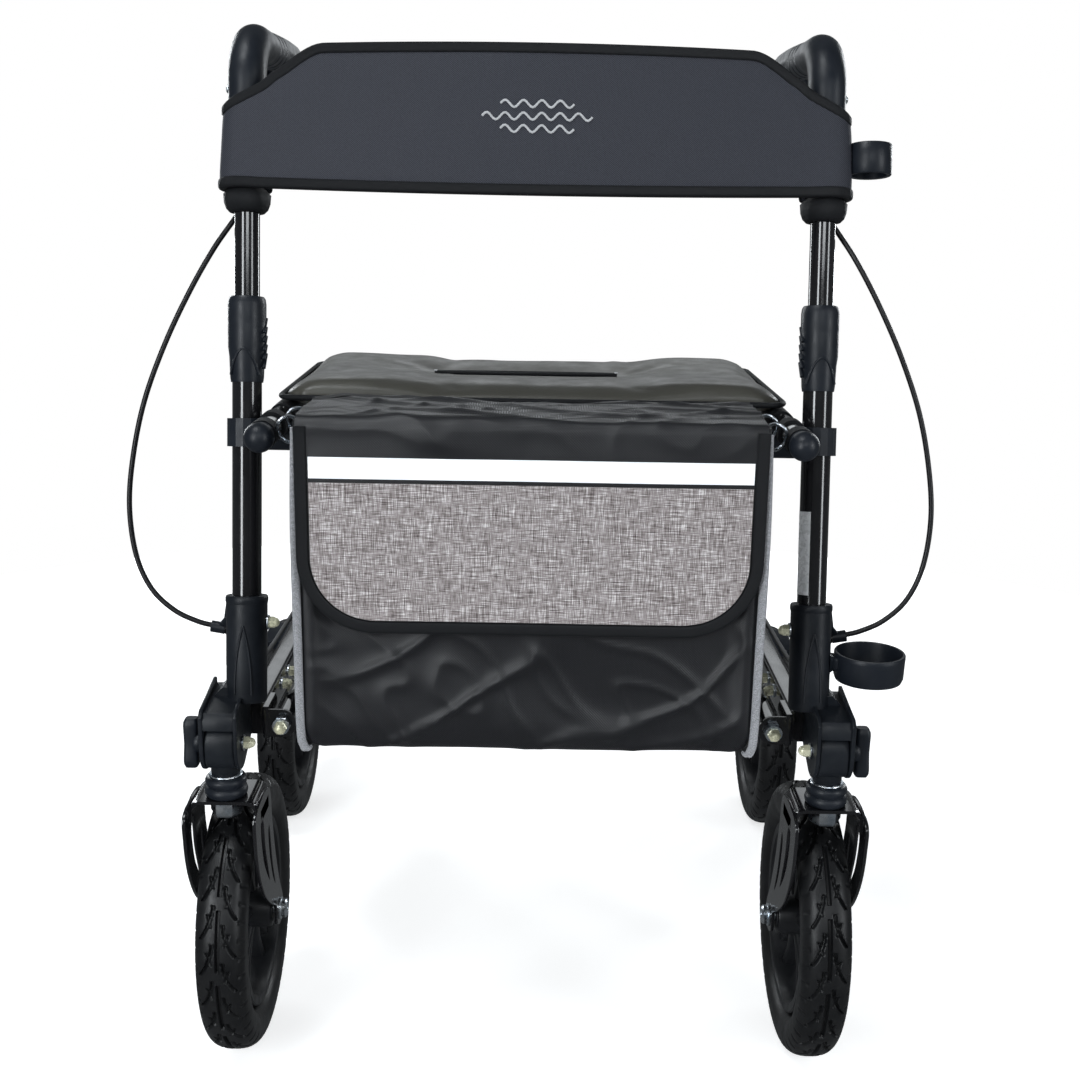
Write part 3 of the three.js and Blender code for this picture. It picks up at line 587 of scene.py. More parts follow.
def tyre_part(centre):
    """The tyre's surface with its tread cut in and fine ribs on its flanks."""
    steps, pitches = 720, 24
    angles = np.radians(np.concatenate([np.linspace(20, 160, 72), np.linspace(166, 374, 27)]))
    across = 0.022 * np.sign(np.cos(angles)) * np.abs(np.cos(angles)) ** 0.78
    rise = 0.0185 * np.sign(np.sin(angles)) * np.abs(np.sin(angles)) ** 0.82
    radius = WHEEL_R - 0.0185 + rise
    flank = (np.sin(angles) < 0.34) & (np.sin(angles) > -0.7)
    across = across - 0.0005 * flank * np.sign(across) * (np.arange(len(angles)) % 2)
    turn = all_round(steps)[:, None]
    cut = tread_depth(turn * WHEEL_R, across[None, :], 2 * math.pi * WHEEL_R / pitches) * (rise > 0.004)
    reach = radius[None, :] - cut
    points = np.stack([centre[0] + np.broadcast_to(across, reach.shape),
                       centre[1] + reach * np.cos(turn), centre[2] + reach * np.sin(turn)], 2)
    return grid_parts(points, wrap_u=True, wrap_v=True)


def spoke_part(angle, lean):
    """One tapered spoke from the hub to the rim, in the wheel's own plane about X."""
    a0, a1 = math.radians(angle), math.radians(angle + lean)
    inner = Vector((0, 0.013 * math.cos(a0), 0.013 * math.sin(a0)))
    outer = Vector((0, 0.0795 * math.cos(a1), 0.0795 * math.sin(a1)))
    path = [inner.lerp(outer, t) for t in (0, 0.25, 0.6, 1)]
    return sweep(path, super_section(0.0075, 0.0042, 0.6, 16), (1.25, 1.05, 0.9, 1.1))


def rim_parts(centre):
    """The rolled rim, the hub and five pairs of spokes."""
    half_ring = [(0.0782, 0.0145), (0.0800, 0.0168), (0.0865, 0.0172), (0.0878, 0.0160)]
    ring = [(r, -h) for r, h in half_ring] + half_ring[::-1] + [(0.0768, 0.0060), (0.0768, -0.0060)]
    half_hub = [(0.0055, 0.0258), (0.0120, 0.0258), (0.0125, 0.0250), (0.0165, 0.0245), (0.0172, 0.0230),
                (0.0180, 0.0100)]
    hub = [(r, -h) for r, h in half_hub] + [(0.0200, 0.0)] + half_hub[::-1]
    on_axle = Matrix.Translation(centre) @ Matrix.Rotation(math.pi / 2, 4, "Y")
    parts = [moved(lathe(ring, 96, True), on_axle), moved(lathe(hub, 64, True), on_axle)]
    pairs = 5
    for i in range(pairs):
        for lean in (-13, 13):
            spoke = spoke_part(360 * i / pairs + 90 - lean * 0.3, lean)
            parts.append(moved(spoke, Matrix.Translation(centre)))
    return parts


def hex_head(radius, height, sides=6):
    """A chamfered hexagon about Z from the origin upwards."""
    return lathe([(radius, 0), (radius, height * 0.75), (radius * 0.86, height)], sides)


def along_x(part, at, facing):
    turn = Matrix.Rotation(math.radians(90 * facing), 4, "Y")
    return moved(part, Matrix.Translation(at) @ turn)


def acorn(name, at, direction, body, radius=0.0078, nodes=()):
    """Zinc washer and hexagon under a pale-yellow domed cap, standing out along direction."""
    turn = Vector((0, 0, 1)).rotation_difference(Vector(direction)).to_matrix().to_4x4()
    place = Matrix.Translation(at) @ turn
    washer = lathe([(radius * 1.25, 0), (radius * 1.25, 0.0012), (radius * 0.8, 0.0014)], 32)
    made = build(name, [moved(washer, place)], "zinc", body, nodes)
    nut = moved(hex_head(radius, 0.0055), place @ Matrix.Translation((0, 0, 0.0012)))
    dome = lathe([(radius * 0.80 * math.cos(a), 0.0064 + radius * 0.78 * math.sin(a))
                  for a in np.linspace(0, 1.50, 8)], 32)
    build(name + "_cap", [nut, moved(dome, place)], "zinc_yellow", body, smooth=40)
    return made


def wheels():
    for prefix, s in SIDES:
        for kind, x, y in (("front", FRONT_WHEEL_X, FRONT_AXLE_Y), ("rear", REAR_WHEEL_X, REAR_AXLE_Y)):
            centre = Vector((x, y, WHEEL_R))
            body = f"{prefix}_{kind}_wheel"
            build(f"{prefix}_{kind}_tread", [tyre_part(centre)], "tyre_rubber", body,
                  [f"{prefix}_{kind}_tyre"], 60, s)
            build(f"{prefix}_{kind}_spokes", rim_parts(centre), "wheel_plastic", body,
                  [f"{prefix}_{kind}_rim"], 40, s)


# ---- Caster fork --------------------------------------------------------------------------------


def flat_plate(name, outlines, thickness, edge=0.0005):
    """A plate with holes from closed outlines in its own plane, as vertices and faces."""
    curve = bpy.data.curves.new(name, "CURVE")
    curve.dimensions = "2D"
    curve.fill_mode = "BOTH"
    curve.extrude = thickness / 2 - edge
    curve.bevel_depth = edge
    curve.bevel_resolution = 1
    for outline in outlines:
        spline = curve.splines.new("POLY")
        spline.points.add(len(outline) - 1)
        for point, (u, v) in zip(spline.points, outline):
            point.co = (u, v, 0, 1)
        spline.use_cyclic_u = True
    holder = bpy.data.objects.new(name, curve)
    bpy.context.scene.collection.objects.link(holder)
    mesh = bpy.data.meshes.new_from_object(holder)
    part = [v.co.copy() for v in mesh.vertices], [tuple(p.vertices) for p in mesh.polygons]
    bpy.data.objects.remove(holder)
    bpy.data.meshes.remove(mesh)
    return part


def upright(x, y=0, z=0):
    """Turns a plate from its own plane into the YZ plane through (x, y, z)."""
    return Matrix(((0, 0, 1, x), (1, 0, 0, y), (0, 1, 0, z), (0, 0, 0, 1)))


def rounded(points, per=6):
    """A smooth closed outline through given points."""
    p = [np.array(q, float) for q in points]
    out = []
    for i in range(len(p)):
        out += curve_points(p[i - 1], p[i], p[(i + 1) % len(p)], p[(i + 2) % len(p)], per)
    return [tuple(q) for q in out]


ARM_OUTLINE = [(-0.090, 0.262), (-0.0945, 0.238), (-0.086, 0.205), (-0.066, 0.174), (-0.038, 0.150),
               (-0.014, 0.134), (-0.013, 0.117), (0.000, 0.1105), (0.013, 0.117), (0.0145, 0.131),
               (0.000, 0.156), (-0.014, 0.190), (-0.024, 0.226), (-0.034, 0.262)]
ARM_SLOTS = (
    [(-0.076, 0.240), (-0.070, 0.250), (-0.062, 0.240), (-0.058, 0.216), (-0.048, 0.190), (-0.043, 0.176),
     (-0.058, 0.192), (-0.070, 0.212)],
    [(-0.044, 0.222), (-0.038, 0.228), (-0.034, 0.212), (-0.028, 0.186), (-0.018, 0.160), (-0.030, 0.174),
     (-0.040, 0.198)],
)


def on_steering(part, z=0.0):
    return moved(part, Matrix.Translation((FRONT_WHEEL_X, STEER_Y, z)))


def caster_fork(prefix, s):
    """The folded sheet fork, the boot and rings on its stem, and the front axle."""
    sheet, half = 0.003, 0.0315
    body = f"{prefix}_caster"
    outlines = [rounded(ARM_OUTLINE)] + [rounded(slot_line) for slot_line in ARM_SLOTS]
    plate = flat_plate(f"{prefix}_arm_pattern", outlines, sheet)
    arms = []
    for side_x in (-1, 1):
        arms.append(moved(plate, upright(FRONT_WHEEL_X + side_x * (half - sheet / 2), FRONT_AXLE_Y)))
    corner, top, skirt = 0.011, 0.268, 0.246
    lines = []
    for side, radius in ((half, corner), (half - sheet, corner - sheet)):
        bend = arc_points((half - corner, top - corner), radius, 0, 90, 6)
        lines.append([(side, skirt)] + bend + [(-x, z) for x, z in reversed(bend)] + [(-side, skirt)])
    section = lines[0] + lines[1][::-1]
    widths = ((-0.079, 0.955), (-0.077, 0.985), (-0.0735, 1), (-0.062, 1), (-0.038, 1), (-0.031, 0.985))
    crown = grid_parts([[(FRONT_WHEEL_X + x * width, FRONT_AXLE_Y + y, z) for x, z in section]
                        for y, width in widths])
    stem = rod("z", 0.006, 0.256, 0.296, (FRONT_WHEEL_X, STEER_Y))
    build(f"{prefix}_fork_sheet", [*arms, crown, stem], "frame_gloss", body, [f"{prefix}_caster_fork"], 35, s)
    nut = on_steering(hex_head(0.0142, -0.0145), 0.2648)
    build(f"{prefix}_crown_nut", [nut], "zinc", body, (), 35, s)
    ring = lathe([(0.0065, 0.2868), (0.0140, 0.2868), (0.0145, 0.2876), (0.0140, 0.2884), (0.0065, 0.2884)],
                 48, True)
    build(f"{prefix}_bearing_ring", [on_steering(ring)], "zinc", body, (), 35, s)
    profile = [(0.0068, 0.2683), (0.0165, 0.2683), (0.0180, 0.2700), (0.0186, 0.2730), (0.0178, 0.2760),
               (0.0160, 0.2774), (0.0162, 0.2784), (0.0176, 0.2800), (0.0178, 0.2830), (0.0165, 0.2856),
               (0.0140, 0.2866), (0.0068, 0.2866)]
    boot = on_steering(lathe(profile, 64, True))
    build(f"{prefix}_steering_boot", [boot], "dark_plastic", body, [f"{prefix}_bearing_boot"], 50, s)
    shaft = rod("x", 0.005, FRONT_WHEEL_X - 0.034, FRONT_WHEEL_X + 0.034, (FRONT_AXLE_Y, WHEEL_R))
    heads = [shaft]
    for side_x in (-1, 1):
        at = Vector((FRONT_WHEEL_X + side_x * 0.0318, FRONT_AXLE_Y, WHEEL_R))
        flange = lathe([(0.0105, 0), (0.0105, 0.0012), (0.0085, 0.0018)], 40)
        head = lathe([(0.0088, 0.0012), (0.0090, 0.0052), (0.0076, 0.0066), (0.0035, 0.0068),
                      (0.0030, 0.0050)], 12)
        heads += [along_x(flange, at, side_x), along_x(head, at, side_x)]
    build(f"{prefix}_axle_bolt", heads, "zinc", body, [f"{prefix}_front_axle"], 30, s)


# ---- Post, collar and casting -------------------------------------------------------------------


def on_post(part):
    return moved(part, POST)


def posts(prefix, s):
    """The fixed post, its height collar, the ribbed socket and the bolts round the foot."""
    fixed = f"{prefix}_frame"
    sides = 56
    outer = lathe([(0.0111, -0.070), (0.0125, -0.070), (0.0125, 0.2405), (0.0111, 0.2405)], sides, True)
    build(f"{prefix}_outer_post", [on_post(outer)], "frame_gloss", fixed, [f"{prefix}_post_tube"], 35, s)
    collar = lathe([(0.0128, 0.184), (0.0136, 0.184), (0.0142, 0.188), (0.0150, 0.206), (0.0160, 0.214),
                    (0.0162, 0.232), (0.0160, 0.234), (0.0162, 0.236), (0.0162, 0.250), (0.0156, 0.2545),
                    (0.0142, 0.2565), (0.0112, 0.2565), (0.0112, 0.243), (0.0128, 0.243)], 72, True)
    parts = [on_post(collar)]
    for i in range(5):
        slope = [(-0.0155, -0.0065 + 0.002 * j, 0.196 + 0.0075 * i + 0.0025 * j) for j in range(6)]
        parts.append(on_post(sweep(slope, super_section(0.0016, 0.0012, 0.7, 12))))
    lip = [(0.0152 * math.sin(a), -0.0152 * math.cos(a), 0.190 + 0.022 * math.cos(a * 1.7))
           for a in np.linspace(-0.92, 0.92, 18)]
    parts.append(on_post(tube(lip, 0.0011, 10, (0, 0, 1))))
    build(f"{prefix}_collar_shell", parts, "dark_plastic", fixed, [f"{prefix}_height_collar"], 40, s)
    button = moved(lathe([(0.0036, 0), (0.0036, 0.0022), (0.0028, 0.0030)], 24),
                   POST @ Matrix.Translation((0, 0.0158, 0.226)) @ Matrix.Rotation(-math.pi / 2, 4, "X"))
    build(f"{prefix}_height_button", [button], "zinc", fixed, (), 35, s)
    mouth = lathe([(0.0129, -0.006), (0.0178, -0.006), (0.0183, -0.004), (0.0183, -0.001), (0.0176, 0.0006),
                   (0.0129, 0.0006)], 72, True)
    foot = lathe([(0.0129, -0.060), (0.0177, -0.060), (0.0177, -0.006), (0.0129, -0.006)], 72, True)
    build(f"{prefix}_socket_sleeve", [on_post(mouth), on_post(foot)], "cast_black", fixed, (), 35, s)
    ribs = []
    for side in (-1, 1):
        arch = []
        for t in np.linspace(0, 1, 12):
            angle = side * 0.42 * (1 - t**2.2)
            arch.append(post_point(-0.084 + 0.060 * t, 0.0176 * math.sin(angle), -0.0176 * math.cos(angle)))
        ribs.append(tube(arch, 0.0011, 12))
    build(f"{prefix}_socket_ribs", ribs, "cast_black", fixed, (), 40, s)
    side_bolt = post_point(-0.023, -0.0176, 0.002)
    acorn(f"{prefix}_socket_bolt", (s * side_bolt.x, side_bolt.y, side_bolt.z), (-s, 0, 0), fixed, 0.0052)
    lower = Vector((s * RAIL_X, FRONT_AXLE_Y - 0.0362, BRACE_Z))
    acorn(f"{prefix}_pivot_bolt", lower, (0, -1, 0), fixed, 0.0060)
    nut_at = Vector((s * 0.2450, STEER_Y, BOLT_Z))
    acorn(f"{prefix}_clamp_nut", nut_at, (-s, 0, 0), fixed, 0.0056, [f"{prefix}_knuckle_bolt"])
    shank = rod("x", 0.004, 0.2380, 0.2795, (STEER_Y, BOLT_Z))
    build(f"{prefix}_clamp_bolt", [shank], "zinc", fixed, (), 35, s)


def casting(prefix, s):
    """The cast foot: socket, shoulder and two cheeks that clamp the caster's knuckle."""
    inner, outer, cheek = 0.2455, 0.278, 0.0032
    front, rear = STEER_Y - 0.022, FRONT_AXLE_Y - 0.022
    slot_rear, slot_top = STEER_Y + 0.0212, BOLT_Z + 0.0208
    low = lathe([(0.0129, -0.092), (0.0168, -0.092), (0.0175, -0.09), (0.0175, -0.058), (0.0129, -0.058)],
                72, True)
    shoulder = [(front + 0.0025, slot_top), (slot_rear, slot_top), (slot_rear, BOLT_Z - 0.006),
                (rear, BOLT_Z - 0.006), (rear, 0.3530), (front + 0.032, 0.3500), (front + 0.006, 0.3470),
                (front + 0.0025, 0.3430)]
    cheek_line = [(front, 0.346)] + arc_points((STEER_Y, BOLT_Z), 0.022, 180, 288, 16)
    cheek_line += [(rear, BOLT_Z - 0.006), (rear, 0.360), (front + 0.030, 0.3545), (front + 0.006, 0.351)]
    parts = [on_post(low)]
    parts.append(yz_plate(f"{prefix}_shoulder", shoulder, inner + 0.0003, outer - 0.0003, 0.0022))
    parts.append(yz_plate(f"{prefix}_cheek_in", cheek_line, inner, inner + cheek, 0.0009))
    parts.append(yz_plate(f"{prefix}_cheek_out", cheek_line, outer - cheek - 0.0004, outer, 0.0009))
    wedge = [(inner + 0.0004, 0.346), (outer - 0.0004, 0.346), (0.2680, 0.3570), (0.2640, 0.3610),
             (0.2560, 0.3610), (0.2500, 0.3560)]
    wedge_ends = (STEER_Y + 0.014, FRONT_AXLE_Y - 0.0225)
    parts.append(grid_parts([[(x, y, z) for x, z in wedge] for y in wedge_ends]))
    build(f"{prefix}_cast_foot", parts, "cast_black", f"{prefix}_frame", [f"{prefix}_foot_casting"], 38, s)
    barrel = [Vector((x, STEER_Y, BOLT_Z)) for x in (0.2490, 0.2496, 0.2510, 0.2615, 0.2720, 0.2734, 0.2740)]
    ends = (0.955, 0.985, 1, 1, 1, 0.985, 0.955)
    drum = sweep(barrel, super_section(0.0208, 0.0212, 0.78, 56), ends, (0, 0, 1))
    neck = lathe([(0.0065, 0.2878), (0.0118, 0.2878), (0.0124, 0.2890), (0.0124, 0.2950), (0.0140, 0.3000),
                  (0.0065, 0.3000)], 56, True)
    build(f"{prefix}_knuckle_drum", [drum, on_steering(neck)], "cast_black", f"{prefix}_frame",
          [f"{prefix}_caster_knuckle"], 45, s)


def wing_knob(prefix, s):
    face = 0.2786
    places = np.linspace(-1, 1, 15)
    path = [(face + 0.0105, STEER_Y + 0.002 * t, BOLT_Z + 0.0215 * t) for t in places]
    scales = [1.0 - 0.12 * (1 - abs(t)) for t in places]
    scales[0] = scales[-1] = 0.72
    scales[1] = scales[-2] = 0.93
    wing = sweep(path, super_section(0.0068, 0.0078, 0.5), scales)
    hub = rod("x", 0.0090, face, face + 0.008, (STEER_Y, BOLT_Z), 40, 0.001)
    build(f"{prefix}_knob_wing", [wing, hub], "dark_plastic", f"{prefix}_knob",
          [f"{prefix}_wing_knob"], 45, s)


def handle_path(t_start, y_end, bend=0.042, steps=16):
    """The handle's centre line: up the post from t_start, round the bend and back to y_end."""
    lean = Vector((0, math.sin(POST_LEAN), math.cos(POST_LEAN)))
    corner = post_point((HANDLE_Z - POST_FOOT.z) / math.cos(POST_LEAN))
    back = Vector((0, 1, 0))
    half = math.acos(max(-1, min(1, -lean.dot(back)))) / 2
    reach = bend / math.tan(half)
    start, end = corner - lean * reach, corner + back * reach
    centre = corner + (back - lean).normalized() * (bend / math.sin(half))
    turn = math.pi - 2 * half
    arc = [centre + Matrix.Rotation(-turn * i / steps, 3, "X") @ (start - centre) for i in range(steps + 1)]
    return [post_point(t_start), *arc, Vector((POST_X, y_end, end.z))]


GRIP_LENGTH = 0.168
GRIP_FRONT = FRONT_AXLE_Y + 0.290 - GRIP_LENGTH


def grip_part():
    """Contoured grip: ribbed rings at the front, a palm swell, finger waves below, a tapered end."""
    rows = []
    for y in np.linspace(0, GRIP_LENGTH, 110):
        t = y / GRIP_LENGTH
        swell = 0.0150 + 0.0013 * math.sin(math.pi * min(1, t * 1.2)) - 0.0032 * max(0, t - 0.8) / 0.2
        rings = sum(0.0011 * math.exp(-((y - c) / 0.0011) ** 2) for c in (0.010, 0.024, 0.038, 0.150))
        end = math.sqrt(max(0.0, 1 - max(0, (y - 0.160) / 0.0085) ** 2))
        row = []
        for a in all_round(48):
            below = max(0.0, -math.sin(a))
            wave = 0.0011 * below * math.cos(2 * math.pi * (y - 0.05) / 0.024) * (0.045 < y < 0.145)
            side_rib = 0.0004 * math.cos(14 * a) * (0.05 < y < 0.14) * (abs(math.cos(a)) > 0.5)
            r = (swell - rings + wave + side_rib) * max(end, 0.05)
            row.append((POST_X + r * math.cos(a), GRIP_FRONT + y, HANDLE_Z + r * math.sin(a)))
        rows.append(row)
    return grid_parts(rows)


def handles(prefix, s):
    """The sliding handle: its tube, bend cover with the lever's bracket, grip and brake lever."""
    body = f"{prefix}_handle"
    inner = tube(handle_path(0.100, FRONT_AXLE_Y + 0.284), 0.01065, 48)
    build(f"{prefix}_inner_tube", [inner], "frame_gloss", body, [f"{prefix}_handle_tube"], 35, s)
    cover = handle_path(0.4000, GRIP_FRONT - 0.0006)
    scales = [1.0] * len(cover)
    scales[0], scales[-1] = 0.98, 0.96
    bracket = rounded([(-0.020, -0.012), (-0.010, -0.030), (0.000, -0.037), (0.010, -0.030), (0.016, -0.012),
                       (0.0, -0.006)], 5)
    plate = flat_plate(f"{prefix}_bracket_pattern", [bracket], 0.011, 0.001)
    parts = [tube(cover, 0.016, 48, scales=scales), moved(plate, upright(POST_X, LEVER_Y, HANDLE_Z)),
             rod("x", 0.0036, POST_X - 0.0155, POST_X + 0.004, (LEVER_Y, LEVER_Z))]
    build(f"{prefix}_bend_shell", parts, "dark_plastic", body, [f"{prefix}_bend_cover"], 40, s)
    screw = lathe([(0.0034, 0), (0.0034, 0.0012), (0.0026, 0.0019), (0.0012, 0.0019), (0.0010, 0.0008)], 24)
    at = post_point(0.4300, 0.0156)
    build(f"{prefix}_cover_screw", [along_x(screw, at, 1)], "zinc", body, (), 35, s)
    build(f"{prefix}_contour_grip", [grip_part()], "dark_plastic", body, [f"{prefix}_hand_grip"], 60, s)
    hub = rod("x", 0.0080, POST_X - 0.0140, POST_X - 0.0056, (LEVER_Y, LEVER_Z), 36, 0.0008)
    bends = ((-0.0110, 0.002, -0.002), (-0.0108, 0.024, -0.009), (-0.003, 0.050, -0.0145),
             (0, 0.090, -0.015), (0, 0.140, -0.015), (0, 0.168, -0.018))
    blade = smooth_path([(POST_X + x, LEVER_Y + y, LEVER_Z + z) for x, y, z in bends], 40)
    taper = [min(1.0, 0.55 + 0.15 * i, 0.5 + 0.25 * (len(blade) - 1 - i)) for i in range(len(blade))]
    build(f"{prefix}_lever_blade", [hub, sweep(blade, super_section(0.0062, 0.0042, 0.7, 24), taper)],
          "dark_plastic", f"{prefix}_lever", [f"{prefix}_brake_lever"], 45, s)


# ---- Cables -------------------------------------------------------------------------------------

CABLE_ROUTE = [  # millimetres: x, y behind the front axle, z, from the lever to the brake arm
    (238, 86, 862), (239, 74, 842), (241, 66, 808), (246, 58, 778), (257, 47, 757), (276, 38, 729),
    (297, 30, 692), (318, 22, 648), (336, 15, 600), (347, 10, 552), (351.5, 6, 508), (347, 2, 466),
    (334, -2, 436), (314, -5, 417), (293, -6, 407), (276, -3, 401), (265, 8, 388), (259, 28, 366),
    (256.5, 56, 349), (256, 100, 340), (256, 160, 336), (256, 230, 334), (256, 300, 330),
    (256, 338, 316), (257, 354, 292), (258, 360, 268),
]


def brake_cable(prefix, s):
    route = [Vector((s * x / 1000, FRONT_AXLE_Y + y / 1000, z / 1000)) for x, y, z in CABLE_ROUTE]
    path = smooth_path(route, 200)
    made = build(f"{prefix}_cable_jacket", [tube(path, 0.0023, 16, (0, 1, 0))], "cable_black", None,
                 [f"{prefix}_brake_cable"], 60)
    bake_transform(made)
    ferrule = tube([path[0] + (path[0] - path[1]).normalized() * 0.001, path[4]], 0.0034, 24, (0, 1, 0))
    build(f"{prefix}_cable_ferrule", [ferrule], "zinc", f"{prefix}_handle")
    clip_at = route[15]
    along = Vector((s * 0.006, 0, 0.001))
    ring = tube([clip_at + along, clip_at - along], 0.0052, 24, (0, 1, 0))
    post_side = Vector((s * 0.2625, clip_at.y, clip_at.z))
    strap = sweep([post_side + Vector((0, -0.010, 0.026)), post_side + Vector((s * 0.003, -0.008, 0.010)),
                   clip_at + Vector((-s * 0.004, -0.001, 0.002))], super_section(0.0035, 0.0022, 0.6, 16))
    build(f"{prefix}_cable_clip", [ring, strap], "dark_plastic", f"{prefix}_frame")


def both_sides():
    for prefix, s in SIDES:
        caster_fork(prefix, s)
        posts(prefix, s)
        casting(prefix, s)
        wing_knob(prefix, s)
        handles(prefix, s)
        brake_cable(prefix, s)


# ---- Lower side frame ---------------------------------------------------------------------------


def yz_plate(name, outline, x0, x1, edge=0.0006):
    """A soft-edged plate between x0 and x1 from its outline in the YZ plane."""
    part = flat_plate(name, [outline], x1 - x0, edge)
    return moved(part, upright((x0 + x1) / 2))


def side_bar(prefix, s):
    """Rectangular tube from the foot casting to the rear axle, with its lugs, hanger and axle."""
    inner, outer, bottom, top = BAR_INNER, BAR_OUTER, BAR_LOW, BAR_HIGH
    mid_x, mid_z = (inner + outer) / 2, (bottom + top) / 2
    start = Vector((mid_x, FRONT_AXLE_Y - 0.0217, mid_z))
    corner = Vector((mid_x, REAR_AXLE_Y - 0.012, mid_z))
    end, bend, steps = Vector((mid_x, REAR_AXLE_Y, WHEEL_R)), 0.070, 18
    back, down = (start - corner).normalized(), (end - corner).normalized()
    half = back.angle(down) / 2
    centre = corner + (back + down).normalized() * (bend / math.sin(half))
    first = corner + back * (bend / math.tan(half)) - centre
    turn = -(math.pi - 2 * half)
    arc = [centre + Matrix.Rotation(turn * i / steps, 3, "X") @ first for i in range(steps + 1)]
    straight = [start.lerp(arc[0], t) for t in (0, 0.33, 0.66)]
    bar = sweep(straight + arc + [end], super_section((outer - inner) / 2, (top - bottom) / 2, 0.36, 48))
    wheel_inner, wheel_outer = REAR_WHEEL_X - 0.026, REAR_WHEEL_X + 0.026
    at = (REAR_AXLE_Y, WHEEL_R)
    boss = rod("x", 0.017, inner, wheel_inner - 0.001, at, 48, 0.0015)
    body = f"{prefix}_frame"
    build(f"{prefix}_lower_tube", [bar, boss], "frame_gloss", body, [f"{prefix}_lower_frame"], 38, s)
    axle = rod("x", 0.005, outer, wheel_outer + 0.004, at)
    head = along_x(hex_head(0.0095, 0.0065), Vector((wheel_outer + 0.001, *at)), 1)
    washer = rod("x", 0.0105, wheel_outer + 0.0004, wheel_outer + 0.0014, at, 40, 0.0002)
    stub = rod("x", 0.004, outer - 0.004, outer + 0.024, brake_pivot(), 24)
    build(f"{prefix}_rear_axle", [axle, head, washer, stub], "zinc", body, (), 30, s)
    flange = [(FRONT_AXLE_Y + y, z) for y, z in ((-0.030, 0.3085), (0.012, 0.3085), (0.012, 0.330),
                                                 (0.005, 0.3365), (-0.030, 0.3365))]
    parts = [yz_plate(f"{prefix}_flange", flange, inner - 0.0045, inner + 0.001)]
    lug_outline = arc_points((RAIL_X, BRACE_Z), 0.0125, 90, 270, 12)
    lug_outline += [(inner + 0.001, 0.3085), (inner + 0.001, 0.3335)]
    for y in (FRONT_AXLE_Y - 0.030, FRONT_AXLE_Y + 0.300):
        lug = flat_plate(f"{prefix}_lug", [lug_outline], 0.004, 0.0004)
        parts.append(moved(lug, Matrix.Translation((0, y + 0.002, 0)) @ Matrix.Rotation(math.pi / 2, 4, "X")))
    pivot_y, pivot_z = brake_pivot()
    hanger = [(pivot_y - 0.015, bottom + 0.006)] + arc_points((pivot_y, pivot_z), 0.0122, 188, 352, 14)
    hanger.append((pivot_y + 0.026, bottom + 0.006))
    parts.append(yz_plate(f"{prefix}_hanger", hanger, outer - 0.006, outer))
    build(f"{prefix}_side_brackets", parts, "frame_gloss", body, (), 35, s)
    for i, y in enumerate((0.060, 0.095, 0.235)):
        at = (s * (inner - 0.0002), FRONT_AXLE_Y + y, 0.326)
        acorn(f"{prefix}_side_bolt_{i}", at, (-s, 0, 0), body, 0.0050)


def brake_pivot():
    angle, reach = math.radians(140), 0.150
    return REAR_AXLE_Y + reach * math.cos(angle), WHEEL_R + reach * math.sin(angle)


def brake_details(prefix, s):
    """Coil spring round the brake's pin, and the cable's adjuster at its end."""
    pivot_y, pivot_z = brake_pivot()
    turns, radius = 5, 0.0112
    coil = [Vector((0.2555 + 0.0105 * t, pivot_y + radius * math.cos(2 * math.pi * turns * t),
                    pivot_z + radius * math.sin(2 * math.pi * turns * t))) for t in np.linspace(0, 1, 90)]
    coil.append(Vector((0.266, pivot_y - 0.010, pivot_z + 0.018)))
    coil.append(Vector((0.2665, pivot_y - 0.018, pivot_z + 0.034)))
    build(f"{prefix}_brake_spring", [tube(coil, 0.0009, 10)], "zinc", f"{prefix}_brake", (), 60, s)
    end, before = (Vector((x / 1000, FRONT_AXLE_Y + y / 1000, z / 1000)) for x, y, z in CABLE_ROUTE[:-3:-1])
    along = (end - before).normalized()
    barrel = [end - along * 0.012, end - along * 0.004, end - along * 0.0039, end + along * 0.004]
    sleeve = tube(barrel, 0.0040, 24, scales=(0.85, 0.85, 1.15, 1.15))
    nut = tube([end + along * 0.004, end + along * 0.0075], 0.0062, 6)
    wire = tube([end + along * 0.006, end + along * 0.016, end + along * 0.026], 0.0009, 10)
    build(f"{prefix}_cable_adjuster", [sleeve, nut, wire], "zinc", f"{prefix}_frame", (), 30, s)


# ---- Seat rails, pivot tubes and cane holder ----------------------------------------------------


